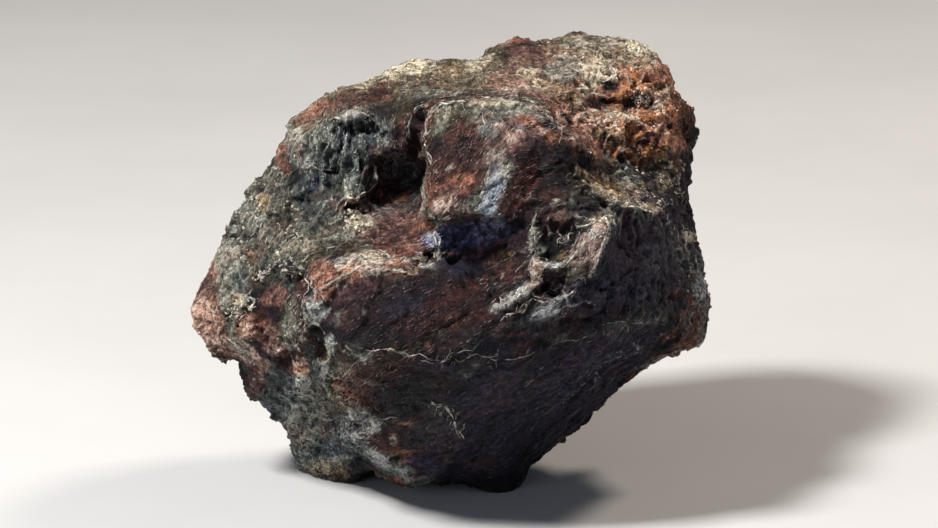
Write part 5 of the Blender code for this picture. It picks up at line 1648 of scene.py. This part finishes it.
def fibreHeading(place):
    heading = math.atan2(-grainAlong[1], grainAlong[0])
    for middle, halfWidth, halfHeight, turn, (right, up) in flows:
        if frameBlob(place[None, :], middle, halfWidth, halfHeight, turn)[0] < 1.1:
            heading = math.atan2(-up, right)
    return heading


def fringeOf(line, picker):
    # a short stroke across the line, the way the fibres run there
    start = line[picker.integers(0, len(line))] + picker.normal(0, cordSettings["fringeScatter"], 2)
    eitherWay = fibreHeading(start) + picker.choice((0, math.pi))
    heading = eitherWay + picker.normal(0, cordSettings["fringeStray"])
    count = int(picker.uniform(*cordSettings["fringeLength"]) / cordSettings["step"]) + cordSettings["fewest"]
    headings = heading + np.cumsum(picker.normal(0, cordSettings["fringeBend"], count))
    steps = cordSettings["step"] * np.stack([np.cos(headings), np.sin(headings)], axis=1)
    return start + np.cumsum(steps, axis=0)


def cordLines():
    # (half width in millimetres, how pale, places in the frame)
    picker = np.random.default_rng(cordSettings["seed"])
    drawn = [(cordSettings["share"] * halfWidth, crust, points)
             for halfWidth, _, crust, points in rims.values()]
    lines = []
    for radius, pale, points in drawn + list(threads.values()):
        line = wavered(evenSteps(points), len(lines))
        lines.append((cordSettings["thickness"] * radius, pale, line))
        for _ in range(int(len(line) * cordSettings["step"] / cordSettings["fringeEvery"])):
            lines.append((cordSettings["fringeThickness"] * radius, cordSettings["fringePale"] * pale,
                          fringeOf(line, picker)))
    return lines


def castOnSkin(skinTree, line):
    eye = scene.camera.location
    spots, outs = [], []
    for x, y in line:
        across = (x - frameMiddle[0]) / pixelsPerMm * mm
        up = (frameMiddle[1] - y) / pixelsPerMm * mm
        aim = Vector(np.array((across, 0, up)) @ toDrawn + np.array(shot["centre"]))
        spot, out, _, _ = skinTree.ray_cast(eye, aim - eye)
        spots.append(spot or nowhere)
        outs.append(out or Vector((0, 0, 1)))
    return np.array(spots), np.array(outs)


def varying(kind, across):
    level, swing, least, most, seed = cordSettings[kind]
    return np.clip(level + swing * noiseAt(across, seed), least, most)


def cordRuns(skinTree):
    # unbroken stretches: (places, outward ways, radii in metres, how pale)
    runs = []
    for number, (radius, pale, line) in enumerate(cordLines()):
        spots, outs = castOnSkin(skinTree, line)
        across = np.column_stack([line / cordSettings["unevenEvery"], np.full(len(line), number * 1.7)])
        radii = radius * mm * varying("thickVaries", across)
        paleness = pale * varying("paleVaries", across * 0.7)
        jumps = np.linalg.norm(np.diff(spots, axis=0), axis=1) > cordSettings["jump"] * mm
        gaps = jumps | (radii[1:] < cordSettings["thinnest"] * radius * mm)
        ends = [0, *(np.flatnonzero(gaps) + 1), len(line)]
        for start, end in zip(ends, ends[1:]):
            if end - start > cordSettings["fewest"] and np.abs(spots[start:end]).max() < 1:
                fromEnd = np.minimum(np.arange(end - start), np.arange(end - start)[::-1])
                taper = np.minimum(1, (0.5 + fromEnd) / cordSettings["taper"])
                runs.append((averaged(spots[start:end]), averaged(outs[start:end]), radii[start:end] * taper,
                             paleness[start:end]))
    return runs


def unit(ways):
    return ways / np.maximum(np.linalg.norm(ways, axis=1), 1e-9)[:, None]


def ringsAlong(spots, outs, radii):
    sides = cordSettings["sides"]
    turns = np.arange(sides) * 2 * math.pi / sides
    ways = unit(np.gradient(spots, axis=0))
    besides = unit(np.cross(outs, ways))
    lifts = np.cross(ways, besides)
    return (spots[:, None] + (cordSettings["lift"] * radii[:, None, None]) * lifts[:, None]
            + radii[:, None, None] * (np.cos(turns)[None, :, None] * besides[:, None]
                                      + np.sin(turns)[None, :, None] * lifts[:, None])).reshape(-1, 3)


def tubeFaces(first, count):
    # the sides of one closed tube of count rings, then its two ends
    sides = cordSettings["sides"]
    faces = []
    for ring in range(count - 1):
        near, far = first + ring * sides, first + (ring + 1) * sides
        for side in range(sides):
            following = (side + 1) % sides
            faces.append((near + side, near + following, far + following, far + side))
    faces.append(tuple(first + side for side in reversed(range(sides))))
    faces.append(tuple(first + (count - 1) * sides + side for side in range(sides)))
    return faces


def makeCords(skinPiece, material):
    skinTree = BVHTree.FromObject(skinPiece, bpy.context.evaluated_depsgraph_get())
    points, faces, paleness = [], [], []
    for spots, outs, radii, pale in cordRuns(skinTree):
        faces.extend(tubeFaces(sum(len(block) for block in points), len(spots)))
        points.append(ringsAlong(spots, outs, radii))
        paleness.append(np.repeat(pale, cordSettings["sides"]))
    mesh = bpy.data.meshes.new("crustCords")
    mesh.from_pydata(np.concatenate(points).tolist(), [], faces)
    store(mesh.attributes, "pale", "FLOAT", "value", np.concatenate(paleness))
    mesh.shade_smooth()
    mesh.materials.append(material)
    piece = bpy.data.objects.new("crustCords", mesh)
    scene.collection.objects.link(piece)
    print("crustCords laid,", len(mesh.polygons), "faces")
    return piece


cordFinish = {
    "dull": (0.05, 0.036, 0.034, 1),
    "pale": (0.56, 0.52, 0.44, 1),
    "tones": ((500.0, 0.5, 1.35), (2200.0, 0.5, 1.3)),
    "dirtScale": 1200.0,
    "dirtAmount": 0.5,
    "dirtSoftness": 0.15,
    "dirtShare": 0.8,
    "dirt": (0.05, 0.034, 0.026, 1),
    "crumbScale": 4500.0,
    "crumbHeight": 0.00015,
}


def cordMaterial():
    material, tree, shader, place = newMaterial("paleCrust")
    colour = mixed(tree, attributeOf(tree, "pale"), cordFinish["dull"], cordFinish["pale"])
    dirtyCrust(tree, shader, place, colour, cordFinish)
    return material


mineral = grainMaterial()
grains = makeGrains(stone, "mineralGrains", sharpGrains, mineral)
strands = makeGrains(stone, "mineralStrands", fineStrands, mineral)
beads = makeGrains(stone, "mineralBeads", roundBeads, beadMaterial())
beads.data.shade_smooth()
cords = makeCords(stone, cordMaterial())

stone.data.materials.clear()
stone.data.materials.append(weathered)
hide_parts("meteorite")
for piece in (stone, grains, strands, beads, cords):
    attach(piece, "root")


floorSettings = {
    "size": 4.0,  # metres
    "colour": (0.44, 0.44, 0.44, 1),
    "blotches": 9.0,
}


def makeFloor():
    bpy.ops.mesh.primitive_plane_add(size=floorSettings["size"])
    floor = bpy.context.object
    floor.name = "floor"
    paint, tree, shader, place = newMaterial("paleFloor")
    tone = useGroup(tree, grainTone, vector=place, scale=floorSettings["blotches"],
                    color=floorSettings["colour"], dark=0.96, light=1.04)
    tree.links.new(tone, shader["Base Color"])
    tree.links.new(ranged(tree, tone, 0, 1, newLow=0.75, newHigh=0.9), shader["Roughness"])
    floor.data.materials.append(paint)


makeFloor()
